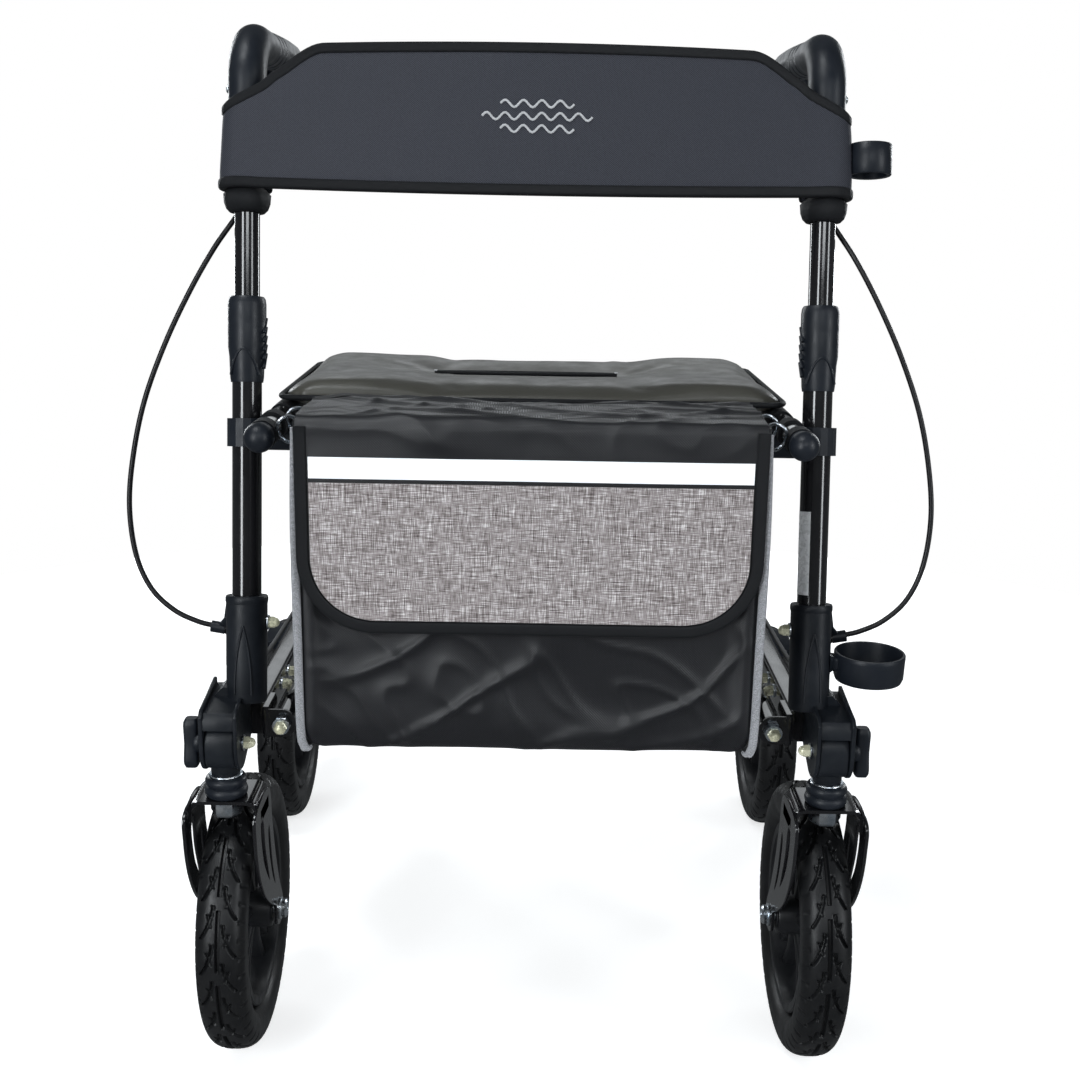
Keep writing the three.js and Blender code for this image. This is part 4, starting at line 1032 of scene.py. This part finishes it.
def rails():
    """The seat rails with their end pieces, and the brace's two lower pivot tubes."""
    front, rear = FRONT_AXLE_Y - 0.092, FRONT_AXLE_Y + 0.302
    for prefix, s, body in RAIL_SIDES:
        bar = rod("y", 0.010, front, rear, (s * RAIL_X, RAIL_Z), 48, 0.001)
        build(f"{prefix}_rail_tube", [bar], "frame_gloss", body, [f"{prefix}_seat_rail"], 40)
        angles = np.linspace(-1.5, 1.5, 22)
        profile = [(0.0122 * math.cos(a), 0.0122 * math.sin(a)) for a in angles]
        collar = [(0.0104, 0.004), (0.0112, 0.006), (0.0112, 0.020), (0.0104, 0.0215)]
        turn = Matrix.Translation((s * RAIL_X, front, RAIL_Z)) @ Matrix.Rotation(-math.pi / 2, 4, "X")
        build(f"{prefix}_rail_ball", [moved(lathe(profile, 56), turn), moved(lathe(collar, 56), turn)],
              "dark_plastic", body, (), 50)
        cap = rod("y", 0.0108, rear - 0.006, rear + 0.002, (s * RAIL_X, RAIL_Z), 48, 0.001)
        build(f"{prefix}_rail_cap", [cap], "dark_plastic", body, (), 40)
    for name, s in (("brace_a", -1), ("brace_b", 1)):
        bar = rod("y", 0.009, FRONT_AXLE_Y - 0.0257, FRONT_AXLE_Y + 0.2997, (s * RAIL_X, BRACE_Z), 40, 0.0008)
        build(f"{name}_tube", [bar], "frame_gloss", name, [f"{name}_pivot_tube"], 40)
        heads = []
        for y, facing in ((FRONT_AXLE_Y - 0.0303, 1), (FRONT_AXLE_Y + 0.3043, -1)):
            turn = Matrix.Rotation(math.pi / 2 * facing, 4, "X")
            place = Matrix.Translation((s * RAIL_X, y, BRACE_Z)) @ turn
            heads.append(moved(hex_head(0.0085, 0.006), place))
        build(f"{name}_pivot_heads", heads, "zinc", name, (), 30)


def cane_holder():
    """The ring that holds a cane's shaft, the cup for its foot, and the plain label on that post."""
    ring_x, t = 0.283, 0.380
    profile = [(0.0146, -0.0125), (0.0178, -0.0130), (0.0185, -0.0122), (0.0185, 0.0122), (0.0178, 0.0130),
               (0.0146, 0.0130)]
    loop = moved(lathe(profile, 64, True), POST @ Matrix.Translation((ring_x - POST_X, 0, t)))
    lug = sweep([post_point(t, x) for x in (0.0172, 0.0186, 0.0205, 0.0222)],
                super_section(0.009, 0.007, 0.5, 32), (1.1, 1.0, 0.95, 1.05), (0, 0, 1))
    build("cane_loop", [loop, lug], "dark_plastic", "right_handle", ["cane_ring"], 45)
    cup_x, cup_y = 0.297, FRONT_AXLE_Y - 0.033
    shell = [(0.002, 0.3712), (0.0250, 0.3712), (0.0285, 0.3722), (0.0300, 0.3760), (0.0304, 0.3900),
             (0.0306, 0.3930), (0.0306, 0.3960), (0.0300, 0.3970), (0.0283, 0.3970), (0.0280, 0.3955),
             (0.0278, 0.3790), (0.0262, 0.3755), (0.0230, 0.3740), (0.002, 0.3740)]
    cup = moved(lathe(shell, 72), Matrix.Translation((cup_x, cup_y, 0)))
    arm = sweep([Vector((x, cup_y, 0.3875)) for x in (0.2610, 0.2640, 0.2670, 0.2700)],
                super_section(0.0070, 0.0085, 0.5, 32), (1.25, 1.0, 0.95, 1.1), (0, 0, 1))
    build("cane_foot_cup", [cup, arm], "dark_plastic", "right_frame", ["cane_cup"], 45)
    patch = [[post_point(t, x, y) for x, y in arc_points((0, 0), 0.01272, 176, 246, 17)]
             for t in np.linspace(0.009, 0.081, 12)]
    build("tube_label", [grid_parts(patch, wrap_v=False)], "silver_label", "right_frame", (), 60)


# ---- Backrest belt ------------------------------------------------------------------------------

BELT_SPLIT = 0.222  # the belt's middle piece ends here on each side
BELT_THICKNESS = 0.0075
BELT_END_X, BELT_END_Y, BELT_BOW = 0.2489, -0.0201, 0.024
WRAP_R = 0.0205


def smoothstep(x):
    x = np.clip(x, 0, 1)
    return x * x * (3 - 2 * x)


def belt_front(x):
    """How far the bowed belt's outer face stands in front of the posts' axis."""
    return BELT_END_Y - BELT_BOW * (1 - (x / BELT_END_X) ** 2)


def belt_plan(x0, x1, count):
    return [(x, belt_front(x)) for x in np.linspace(x0, x1, count)]


def wrap_plan(s, count=34):
    """The end of the belt: from the split, round the outside of the post to its back."""
    front = belt_plan(BELT_SPLIT - 0.0004, BELT_END_X, 9)
    turn = np.radians(np.linspace(-79.1, 178, count))[1:]
    around = [(POST_X + WRAP_R * math.cos(a), WRAP_R * math.sin(a)) for a in turn]
    return [(s * x, y) for x, y in front + around]


def belt_top(x):
    shoulder = 0.025 * smoothstep((abs(x) - 0.176) / 0.054)
    return 0.461 - shoulder - 0.021 * np.clip((abs(x) - 0.218) / 0.045, 0, 1)


def belt_bottom(x):
    return 0.3395 + 0.0065 * min(1, (x / POST_X) ** 2)


def belt_flare(x, share):
    """How far the belt's ends stand out round the posts: more at the bottom than at the top."""
    return 0.0034 * (1 - share) * smoothstep((abs(x) - 0.226) / 0.03)


def belt_rows(plan):
    """The padded band as closed loops of points, one for each place along its plan."""
    rise, middle = 22, BELT_THICKNESS / 2
    rows = []
    for i, (x, y) in enumerate(plan):
        normal = outward(plan, i)
        low, high = belt_bottom(x), belt_top(x)
        row = []
        for face in (0, 1):
            shares = np.linspace(0, 1, rise) if face == 0 else np.linspace(1, 0, rise)
            for share in shares:
                edge = 1 - abs(2 * share - 1) ** 5
                t = low + (high - low) * share
                soft = noise.noise(Vector((x * 9, t * 14, y * 20)))
                depth = middle * (0.52 + 0.48 * edge) + (0.0007 * soft * edge if face == 0 else 0)
                offset = (depth if face == 0 else -depth) + belt_flare(x, share)
                place = Vector((x, y)) - normal * middle + normal * offset
                row.append(post_point(t, place.x - POST_X, place.y))
        rows.append(row)
    return rows


def belt_edge(plan, height, half_tall, half_thick):
    """A bound edge that follows the plan at a height along the posts."""
    path = []
    for i, (x, y) in enumerate(plan):
        share = (height(x) - belt_bottom(x)) / (belt_top(x) - belt_bottom(x))
        place = Vector((x, y)) + outward(plan, i) * (belt_flare(x, share) - BELT_THICKNESS / 2)
        path.append(post_point(height(x), place.x - POST_X, place.y))
    up = (0, math.sin(POST_LEAN), math.cos(POST_LEAN))
    return sweep(path, super_section(half_tall, half_thick, 0.6, 24), None, up)


def backrest():
    """The padded belt in three pieces with bound and stitched edges, and its linings on the posts."""
    plans = {"middle": (belt_plan(-BELT_SPLIT, BELT_SPLIT, 121), "left_handle")}
    for prefix, s in SIDES:
        plan = wrap_plan(s)
        plans[prefix] = (plan if s > 0 else plan[::-1], f"{prefix}_handle")
    for region, (plan, body) in plans.items():
        nodes = ["backrest_belt"] if region == "middle" else [f"{region}_belt_sleeve"]
        band = build(f"belt_{region}", [grid_parts(belt_rows(plan))], "belt_twill", body, nodes, 70)
        edges = [belt_edge(plan, lambda x: belt_top(x) - 0.0040, 0.0046, 0.0044),
                 belt_edge(plan, lambda x: belt_bottom(x) + 0.0040, 0.0046, 0.0044)]
        pieces = [band, build(f"belt_{region}_binding", edges, "binding_black", body, (), 60)]
        stitches = []
        for height in (lambda x: belt_top(x) - 0.0072, lambda x: belt_bottom(x) + 0.0072):
            for k in range(0, len(plan) - 1, 2 if region == "middle" else 3):
                stitches.append(belt_edge(plan[k:k + 2], height, 0.0003, 0.0042))
        pieces.append(build(f"belt_{region}_stitches", stitches, "binding_black", body))
        if region == "middle":
            pieces.append(belt_motif(body))
            for made in pieces:
                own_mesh(made)
    for prefix, s in SIDES:
        lower = lathe([(0.0112, 0.3270), (0.0148, 0.3272), (0.0176, 0.3300), (0.0194, 0.3350),
                       (0.0200, 0.3420), (0.0112, 0.3520)], 56, True)
        filler = lathe([(0.0112, 0.352), (0.0150, 0.352), (0.0150, 0.400), (0.0112, 0.400)], 48, True)
        build(f"{prefix}_belt_lining", [on_post(lower), on_post(filler)], "binding_black",
              f"{prefix}_handle", (), 60, s)


def belt_motif(body):
    """Three stitched wave lines in pale thread, in the middle of the belt."""
    threads = []
    for centre, reach in ((0.412, 0.030), (0.402, 0.045), (0.392, 0.030)):
        path = []
        for x in np.linspace(-reach, reach, int(reach * 2400)):
            rise = 0.0028 * math.sin(x * 2 * math.pi / 0.015)
            path.append(post_point(centre + rise, x - POST_X, belt_front(x) - 0.0004))
        threads.append(tube(path, 0.00085, 10, (0, 0, 1), [1 + 0.25 * (i % 2) for i in range(len(path))]))
    return build("belt_motif", threads, "pale_thread", body, (), 80)


# ---- Seat ---------------------------------------------------------------------------------------

SEAT_HALF, SEAT_FRONT, SEAT_REAR = 0.221, FRONT_AXLE_Y + 0.018, FRONT_AXLE_Y + 0.260
SLIT_Y, SLIT_ENDS = FRONT_AXLE_Y + 0.160, (-0.094, 0.080)


def swollen(name, part, voxel, pressure, cap, frames=20):
    """A closed form as a pad of cloth blown up from inside, each point held to within cap."""
    vertices, faces = part
    source = bpy.data.objects.new(name, mesh_of(name, vertices, faces))
    bpy.context.scene.collection.objects.link(source)
    remesh = source.modifiers.new("Remesh", "REMESH")
    remesh.mode = "VOXEL"
    remesh.voxel_size = voxel
    depsgraph = bpy.context.evaluated_depsgraph_get()
    rest = bpy.data.meshes.new_from_object(source.evaluated_get(depsgraph))
    bpy.data.objects.remove(source)
    pad = bpy.data.objects.new(name, rest)
    bpy.context.scene.collection.objects.link(pad)
    start = np.array([v.co for v in rest.vertices])
    cloth = pad.modifiers.new("Cloth", "CLOTH")
    cloth.settings.use_pressure = True
    cloth.settings.uniform_pressure_force = pressure
    cloth.settings.effector_weights.gravity = 0
    cloth.settings.quality = 6
    cloth.point_cache.frame_end = frames
    for number in range(1, frames + 1):
        bpy.context.scene.frame_set(number)
    depsgraph = bpy.context.evaluated_depsgraph_get()
    settled = bpy.data.meshes.new_from_object(pad.evaluated_get(depsgraph))
    end = np.array([v.co for v in settled.vertices])
    travel = end - start
    far = np.linalg.norm(travel, axis=1, keepdims=True)
    end = start + travel * np.minimum(1, cap / np.maximum(far, 1e-9))
    settled.vertices.foreach_set("co", end.ravel())
    bpy.data.objects.remove(pad)
    bpy.context.scene.frame_set(1)
    return settled


def slit_dip(x, y):
    """How far the seat's top is drawn down round its hand slit, from 0 to 1."""
    nearest = min(max(x, SLIT_ENDS[0]), SLIT_ENDS[1])
    distance = math.hypot(x - nearest, (y - SLIT_Y) * 1.1)
    return math.exp(-((distance / 0.042) ** 2))


def seat():
    """The blown-up cushion with its piping, the hand slit with lips and tacks and painted shade in its
    opening, and the rail hems.
    """
    base, half_thick, corner = 0.6043, 0.0048, 0.016
    outline = sum(corner_arcs(SEAT_HALF, SEAT_FRONT, SEAT_REAR, corner, 6), [])
    rows = [[(x, y, z) for x, y in outline] for z in (base - half_thick, base + half_thick)]
    pad = swollen("seat_form", grid_parts(rows), 0.0055, 4.0, 0.0062)
    for vertex in pad.vertices:
        x, y, z = vertex.co
        upper = float(smoothstep((z - base + 0.002) / 0.005))
        dip = slit_dip(x, y)
        ends = min(abs(x - end) for end in SLIT_ENDS)
        angle = math.atan2(y - SLIT_Y, x - (SLIT_ENDS[0] if x < 0 else SLIT_ENDS[1]))
        reach = math.exp(-(ends / 0.075) ** 2) * (1 - math.exp(-(math.hypot(ends, y - SLIT_Y) / 0.02) ** 2))
        crease = 0.0011 * reach * math.cos(7 * angle + 0.6) * (abs(x) > abs(SLIT_ENDS[1]) * 0.95)
        ripple = 0.0009 * noise.noise(Vector((x * 16, y * 26, 3.1)))
        shoulder = float(smoothstep((abs(x) - 0.06) / 0.10) * smoothstep((0.218 - abs(x)) / 0.03))
        lift = 0.0042 * upper * shoulder
        vertex.co.z = z - upper * dip * 0.0070 + upper * (crease + ripple) + lift
    made = finish_piece("seat_cushion", pad, "seat_vinyl", None, ["left_seat_pad", "right_seat_pad"], 180)
    fine = made.modifiers.new("Fine", "SUBSURF")
    fine.levels = fine.render_levels = 1
    blend_seat(made)
    ring = sum(corner_arcs(SEAT_HALF - 0.001, SEAT_FRONT - 0.002, SEAT_REAR + 0.002, corner, 8), [])
    ring = [(Vector(a) * (1 - t)) + Vector(b) * t for a, b in zip(ring, ring[1:] + ring[:1])
            for t in np.linspace(0, 1, 2 if (Vector(a) - Vector(b)).length < 0.02 else 26, endpoint=False)]
    loop = []
    for i, p in enumerate(ring):
        out = outward(ring, i, closed=True)
        loop.append([(p.x + out.x * u, p.y + out.y * u, base + v) for u, v in circle(0.0026, 12)])
    blend_seat(build("seat_piping", [grid_parts(loop, wrap_u=True)], "binding_black", None, (), 80))
    lips = []
    top = max(v.co.z for v in pad.vertices if abs(v.co.x) < 0.06 and abs(v.co.y - SLIT_Y) < 0.006)
    xs = np.linspace(*SLIT_ENDS, 50)
    shares = np.linspace(0, 1, 50)
    opening = [0.0044 * math.sin(math.pi * t) ** 0.35 if 0 < t < 1 else 0.0 for t in shares]
    for side in (-1, 1):
        path = [(x, SLIT_Y + side * reach, top + 0.0018) for x, reach in zip(xs, opening)]
        lips.append(sweep(path, super_section(0.0022, 0.0016, 0.7, 14), None, (0, 1, 0)))
    # A flat black strip laid over the slit's opening between the lips: painted shade of the hollow under the
    # slit.
    square = ((-1, 0), (1, 0), (1, 1), (-1, 1))
    slit_painted_shade = [[(x, SLIT_Y + 0.0042 * c, top + 0.0006 + 0.0012 * d) for c, d in square] for x in xs]
    blend_seat(build("seat_slit_lips", lips, "binding_black", None, (), 80))
    blend_seat(build("seat_slit", [grid_parts(slit_painted_shade)], "binding_black", None, (), 40))
    bars = []
    for x in SLIT_ENDS:
        for k in range(5):
            at = x + 0.0006 * (k - 2)
            arch = [(at, SLIT_Y + y, top + z) for y, z in ((-0.0028, 0.0034), (0, 0.0040), (0.0028, 0.0034))]
            bars.append(tube(arch, 0.0004, 8))
    blend_seat(build("seat_slit_tacks", bars, "pale_thread", None, (), 80))
    for prefix, s, body in RAIL_SIDES:
        rows = []
        for y in np.linspace(SEAT_FRONT - 0.004, SEAT_REAR + 0.004, 40):
            row = []
            for a in all_round(40):
                radius = 0.0116 + 0.0004 * noise.noise(Vector((y * 60, math.cos(a) * 2, math.sin(a) * 2)))
                row.append((s * RAIL_X + radius * math.cos(a), y, RAIL_Z + radius * math.sin(a)))
            rows.append(row)
        build(f"{prefix}_seat_hem", [grid_parts(rows)], "binding_black", body, (), 60)


def blend_seat(made):
    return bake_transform(made)


# ---- Bag ----------------------------------------------------------------------------------------

BAG_HALF, BAG_FRONT, BAG_BACK = 0.1890, FRONT_AXLE_Y - 0.110, FRONT_AXLE_Y - 0.019
BAG_LOW, BAG_TOP = 0.325, 0.6035
FLAP_FRONT = BAG_FRONT - 0.0024
FLAP_HALF, FLAP_LOW, FLAP_CORNER = 0.185, 0.435, 0.061
PANEL_HALF, PANEL_LOW, PANEL_CORNER = 0.175, 0.4445, 0.051


def cloth_crease(at, width):
    """A sharp fold line that wanders through the cloth: 1 on the line, falling off to each side."""
    return math.exp(-((abs(noise.noise(Vector(at))) / width) ** 1.25))


def bag_loop(z, inset=0.0, per=9, along=120):
    """One level of the bag: a rounded rectangle with slack and wrinkles."""
    share = (z - BAG_LOW) / (BAG_TOP - BAG_LOW)
    round_low = 0.030
    tuck = round_low - math.sqrt(max(0.0, round_low**2 - max(0.0, round_low - (z - BAG_LOW)) ** 2))
    half = BAG_HALF - 0.001 - 0.35 * tuck - inset
    front, back = BAG_FRONT + 0.75 * tuck + 0.001 + inset, BAG_BACK - 0.75 * tuck - 0.001 - inset
    arcs = corner_arcs(half, front, back, 0.013, per)
    dense = []
    for arc, following, count in zip(arcs, arcs[1:] + arcs[:1], (along, 16, along, 16)):
        (ax, ay), (bx, by) = arc[-1], following[0]
        dense += arc[:-1] + [(ax + (bx - ax) * k / count, ay + (by - ay) * k / count) for k in range(count)]
    points = []
    slack = float(smoothstep(min((0.80 - share) / 0.30, 1.0)) * smoothstep((z - BAG_LOW + 0.012) / 0.03))
    for x, y in dense:
        sideways = x / half * (abs(x) > half * 0.93)
        out = Vector((sideways, (y - (front + back) / 2) / ((back - front) / 2))).normalized()
        inner = smoothstep((half - abs(x)) / 0.03)
        bend = 0.035 * noise.noise(Vector((x * 9, z * 9, 3.0 + y * 5)))
        broad = noise.noise(Vector((x * 8 + z * 7, z * 12, y * 6)))
        long_crease = cloth_crease(((x + bend) * 11 - z * 16, (z + bend) * 5 + x * 3, 7.0 + y * 5), 0.075)
        short_crease = cloth_crease(((x - bend) * 20 + z * 24, z * 9 - x * 7, 2.0 + y * 5), 0.09)
        amount = 0.0080 * broad + 0.0056 * long_crease + 0.0028 * short_crease - 0.0020
        amount = min(amount, 0.0080) * slack * inner - 0.0060 * inner * slack
        points.append((x + out.x * min(0, amount) * 0.3, y + out.y * amount, z))
    return points


def bag():
    """The bag's shell with walls and floor, the piping down its front edges and the hem of its mouth."""
    heights = [BAG_LOW + 0.030 * (1 - math.cos(a)) for a in np.linspace(0.10, math.pi / 2, 9)]
    heights += list(np.linspace(BAG_LOW + 0.034, BAG_TOP, 84))
    outer = [bag_loop(z) for z in heights]
    inner = [bag_loop(max(z, BAG_LOW + 0.004), 0.0022) for z in heights[::-1]]
    middle = (BAG_FRONT + BAG_BACK) / 2

    def shrunk(loop, share, height):
        return [(x * share, middle + (y - middle) * share, height) for x, y, z in loop]

    outer_floor = [shrunk(outer[0], share, BAG_LOW + 0.0002 + 0.0010 * share) for share in (0.15, 0.45, 0.75)]
    inner_floor = [shrunk(inner[-1], share, BAG_LOW + 0.004) for share in (0.7, 0.3)]
    shell = grid_parts(outer_floor + outer + inner + inner_floor)
    pieces = [build("bag_shell", [shell], "bag_nylon", "bag", ["bag_body"], 75)]
    bands = []
    route = ((0.0070, 0.0120, BAG_LOW + 0.002), (0.0034, 0.0070, BAG_LOW + 0.006),
             (0.0016, 0.0028, BAG_LOW + 0.026), (0.0012, 0.0020, 0.43), (0.0010, 0.0018, 0.52),
             (0.0030, 0.0030, BAG_TOP - 0.004))
    for s in (-1, 1):
        edge = smooth_path([(s * (BAG_HALF - x), BAG_FRONT + y, z) for x, y, z in route], 120)
        bands.append(sweep(edge, super_section(0.0036, 0.0022, 0.75, 20), None, (1, -s * 0.55, 0)))
    pieces.append(build("bag_side_piping", bands, "grey_piping", "bag", (), 70))
    mouth = bag_loop(BAG_TOP - 0.004)
    hem = []
    for i, (x, y, z) in enumerate(mouth):
        out = outward(mouth, i, closed=True)
        hem.append([(x + out.x * 0.0015 * u, y + out.y * 0.0015 * u, z + 0.0045 * v)
                    for u, v in super_section(1, 1, 0.6, 16)])
    pieces.append(build("bag_mouth_hem", [grid_parts(hem, wrap_u=True)], "binding_black", "bag", (), 60))
    for made in pieces:
        squash_bag(made)
    return pieces


def squash_bag(made):
    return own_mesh(made)


def flap_profile():
    """Side view of the lid, from the seat's edge over the mouth and down the front: (y, z)."""
    top, front, turn = BAG_TOP + 0.0035, FLAP_FRONT, 0.009
    line = [(y, top - 0.0062 * float(smoothstep((y - BAG_BACK - 0.004) / 0.034)))
            for y in np.linspace(BAG_BACK + 0.053, front + turn, 44)]
    line += arc_points((front + turn, top - turn), turn, 90, 180, 8)[1:]
    line += [(front, z) for z in np.linspace(top - turn - 0.003, FLAP_LOW, 64)]
    return line


def round_cornered(z, half, low, corner):
    """The half-width at a height of a sheet whose lower corners are round."""
    drop = min(max(0.0, low + corner - z), corner)
    return half - corner + math.sqrt(corner**2 - drop**2)


def flap_half(z):
    return round_cornered(z, FLAP_HALF, FLAP_LOW, FLAP_CORNER)


def panel_half(z):
    return round_cornered(z, PANEL_HALF, PANEL_LOW, PANEL_CORNER)


def flap_bulge(x, y, z):
    """How far the lid's cloth stands out from its side view."""
    return max(0.0, 0.0008 + flap_wave(x, y, z))


def flap_wave(x, y, z):
    """Slack of the lid's cloth: crumpled over the mouth, calm on the front."""
    over = float(smoothstep((z - 0.572) / 0.022))
    calm = noise.noise(Vector((x * 6, 4.0, z * 9)))
    if over == 0:
        return 0.0014 * calm
    long_fold = cloth_crease((x * 6 + y * 8, y * 17 + x * 4, z * 18), 0.10)
    short_fold = cloth_crease((x * 15 - y * 14, y * 31, 2.0 + z * 20), 0.11)
    swell = noise.noise(Vector((x * 9, y * 22, z * 12)))
    return over * (0.0034 * long_fold + 0.0014 * short_fold + 0.0026 * swell) + 0.0014 * calm * (1 - over)


def front_patch(half_of, low, high, thickness, rows=40, columns=90):
    """A flat patch sewn on the lid's front that follows its slack."""
    loops = []
    for z in np.linspace(low, high, rows):
        half = half_of(z)
        face, back = [], []
        for x in np.linspace(-half, half, columns):
            base = FLAP_FRONT - flap_bulge(x, FLAP_FRONT, z) - 0.0012
            face.append((x, base - thickness, z))
            back.append((x, base + 0.0004, z))
        loops.append(face + back[::-1])
    return grid_parts(loops)


def lid_cloth(profile, columns=150, thickness=0.0022):
    """The slack cloth along a side view of the lid, with its thickness."""
    loops = []
    for i, (y, z) in enumerate(profile):
        out = outward(profile, i)
        half = flap_half(z) if y < BAG_FRONT else FLAP_HALF
        face, back = [], []
        for x in np.linspace(-half, half, columns):
            bulge = flap_bulge(x, y, z)
            for line, reach in ((face, bulge), (back, bulge - thickness)):
                line.append((x, y + out.x * reach, z + out.y * reach))
        loops.append(face + back[::-1])
    return grid_parts(loops)


def flap():
    """The lid with its panel, stripe and bound border, and the apron between the bag and the seat."""
    profile = flap_profile()
    hinge = sum(y > BAG_BACK + 0.0004 for y, z in profile)
    apron = build("bag_apron", [lid_cloth(profile[:hinge - 3])], "bag_nylon", "bag", (), 60)
    profile = profile[hinge:]
    lid = build("bag_lid", [lid_cloth(profile)], "bag_nylon", "flap", ["bag_flap"], 60)
    patch = front_patch(panel_half, PANEL_LOW + 0.0001, 0.5570, 0.0009, 60)
    panel = build("bag_panel", [patch], "linen_panel", "flap", (), 60)
    patch = front_patch(lambda z: PANEL_HALF, 0.5605, 0.5775, 0.0008, 12)
    stripe = build("bag_stripe", [patch], "reflective", "flap", (), 60)
    inset, top = 0.0035, 0.6015
    bend_x, bend_z = FLAP_HALF - FLAP_CORNER, FLAP_LOW + FLAP_CORNER
    line = [(inset - FLAP_HALF, z) for z in np.linspace(top, bend_z, 30)]
    line += arc_points((-bend_x, bend_z), FLAP_CORNER - inset, 180, 270, 24)[1:]
    line += [(x, FLAP_LOW + inset) for x in np.linspace(-bend_x, bend_x, 40)[1:]]
    line += arc_points((bend_x, bend_z), FLAP_CORNER - inset, 270, 360, 24)[1:]
    line += [(FLAP_HALF - inset, z) for z in np.linspace(bend_z, top, 30)[1:]]
    rows = []
    section = super_section(0.0050, 0.0021, 0.55, 20)
    for i, (x, z) in enumerate(line):
        side = outward(line, i)
        y = FLAP_FRONT - flap_bulge(x, BAG_FRONT, z) + 0.0002
        rows.append([(x + side.x * u, y + v, z + side.y * u) for u, v in section])
    border = build("bag_lid_binding", [grid_parts(rows)], "binding_black", "flap", (), 60)
    for made in (apron, lid, panel, stripe, border):
        squash_bag(made)


def bag_hooks():
    """Wire hooks and webbing loops that hang the bag's corners on the seat rails."""
    for prefix, s, body in RAIL_SIDES:
        for place, y in (("front", FRONT_AXLE_Y - 0.074), ("back", FRONT_AXLE_Y - 0.030)):
            round_rail = circle(0.0122, 36)
            loop = [[(s * RAIL_X + u, along, RAIL_Z + v) for u, v in round_rail]
                    for along in np.linspace(y - 0.008, y + 0.008, 14)]
            ring = [(s * (RAIL_X - 0.0200 - 0.0085 * math.cos(a)), y + 0.004 * math.sin(2 * a),
                     RAIL_Z + 0.004 + 0.0105 * math.sin(a)) for a in np.linspace(-0.3, 2 * math.pi - 0.5, 40)]
            build(f"{prefix}_{place}_strap_loop", [grid_parts(loop)], "binding_black", body, (), 60)
            build(f"{prefix}_{place}_snap_hook", [tube(ring, 0.0014, 14, (0, 1, 0))], "zinc", body, (), 60)


# ---- The whole walker ---------------------------------------------------------------------------

studio()
both_sides()
for side_name, side_sign in SIDES:
    side_bar(side_name, side_sign)
    brake_details(side_name, side_sign)
wheels()
rails()
cane_holder()
backrest()
seat()
bag()
flap()
bag_hooks()
dress_cad_nodes()
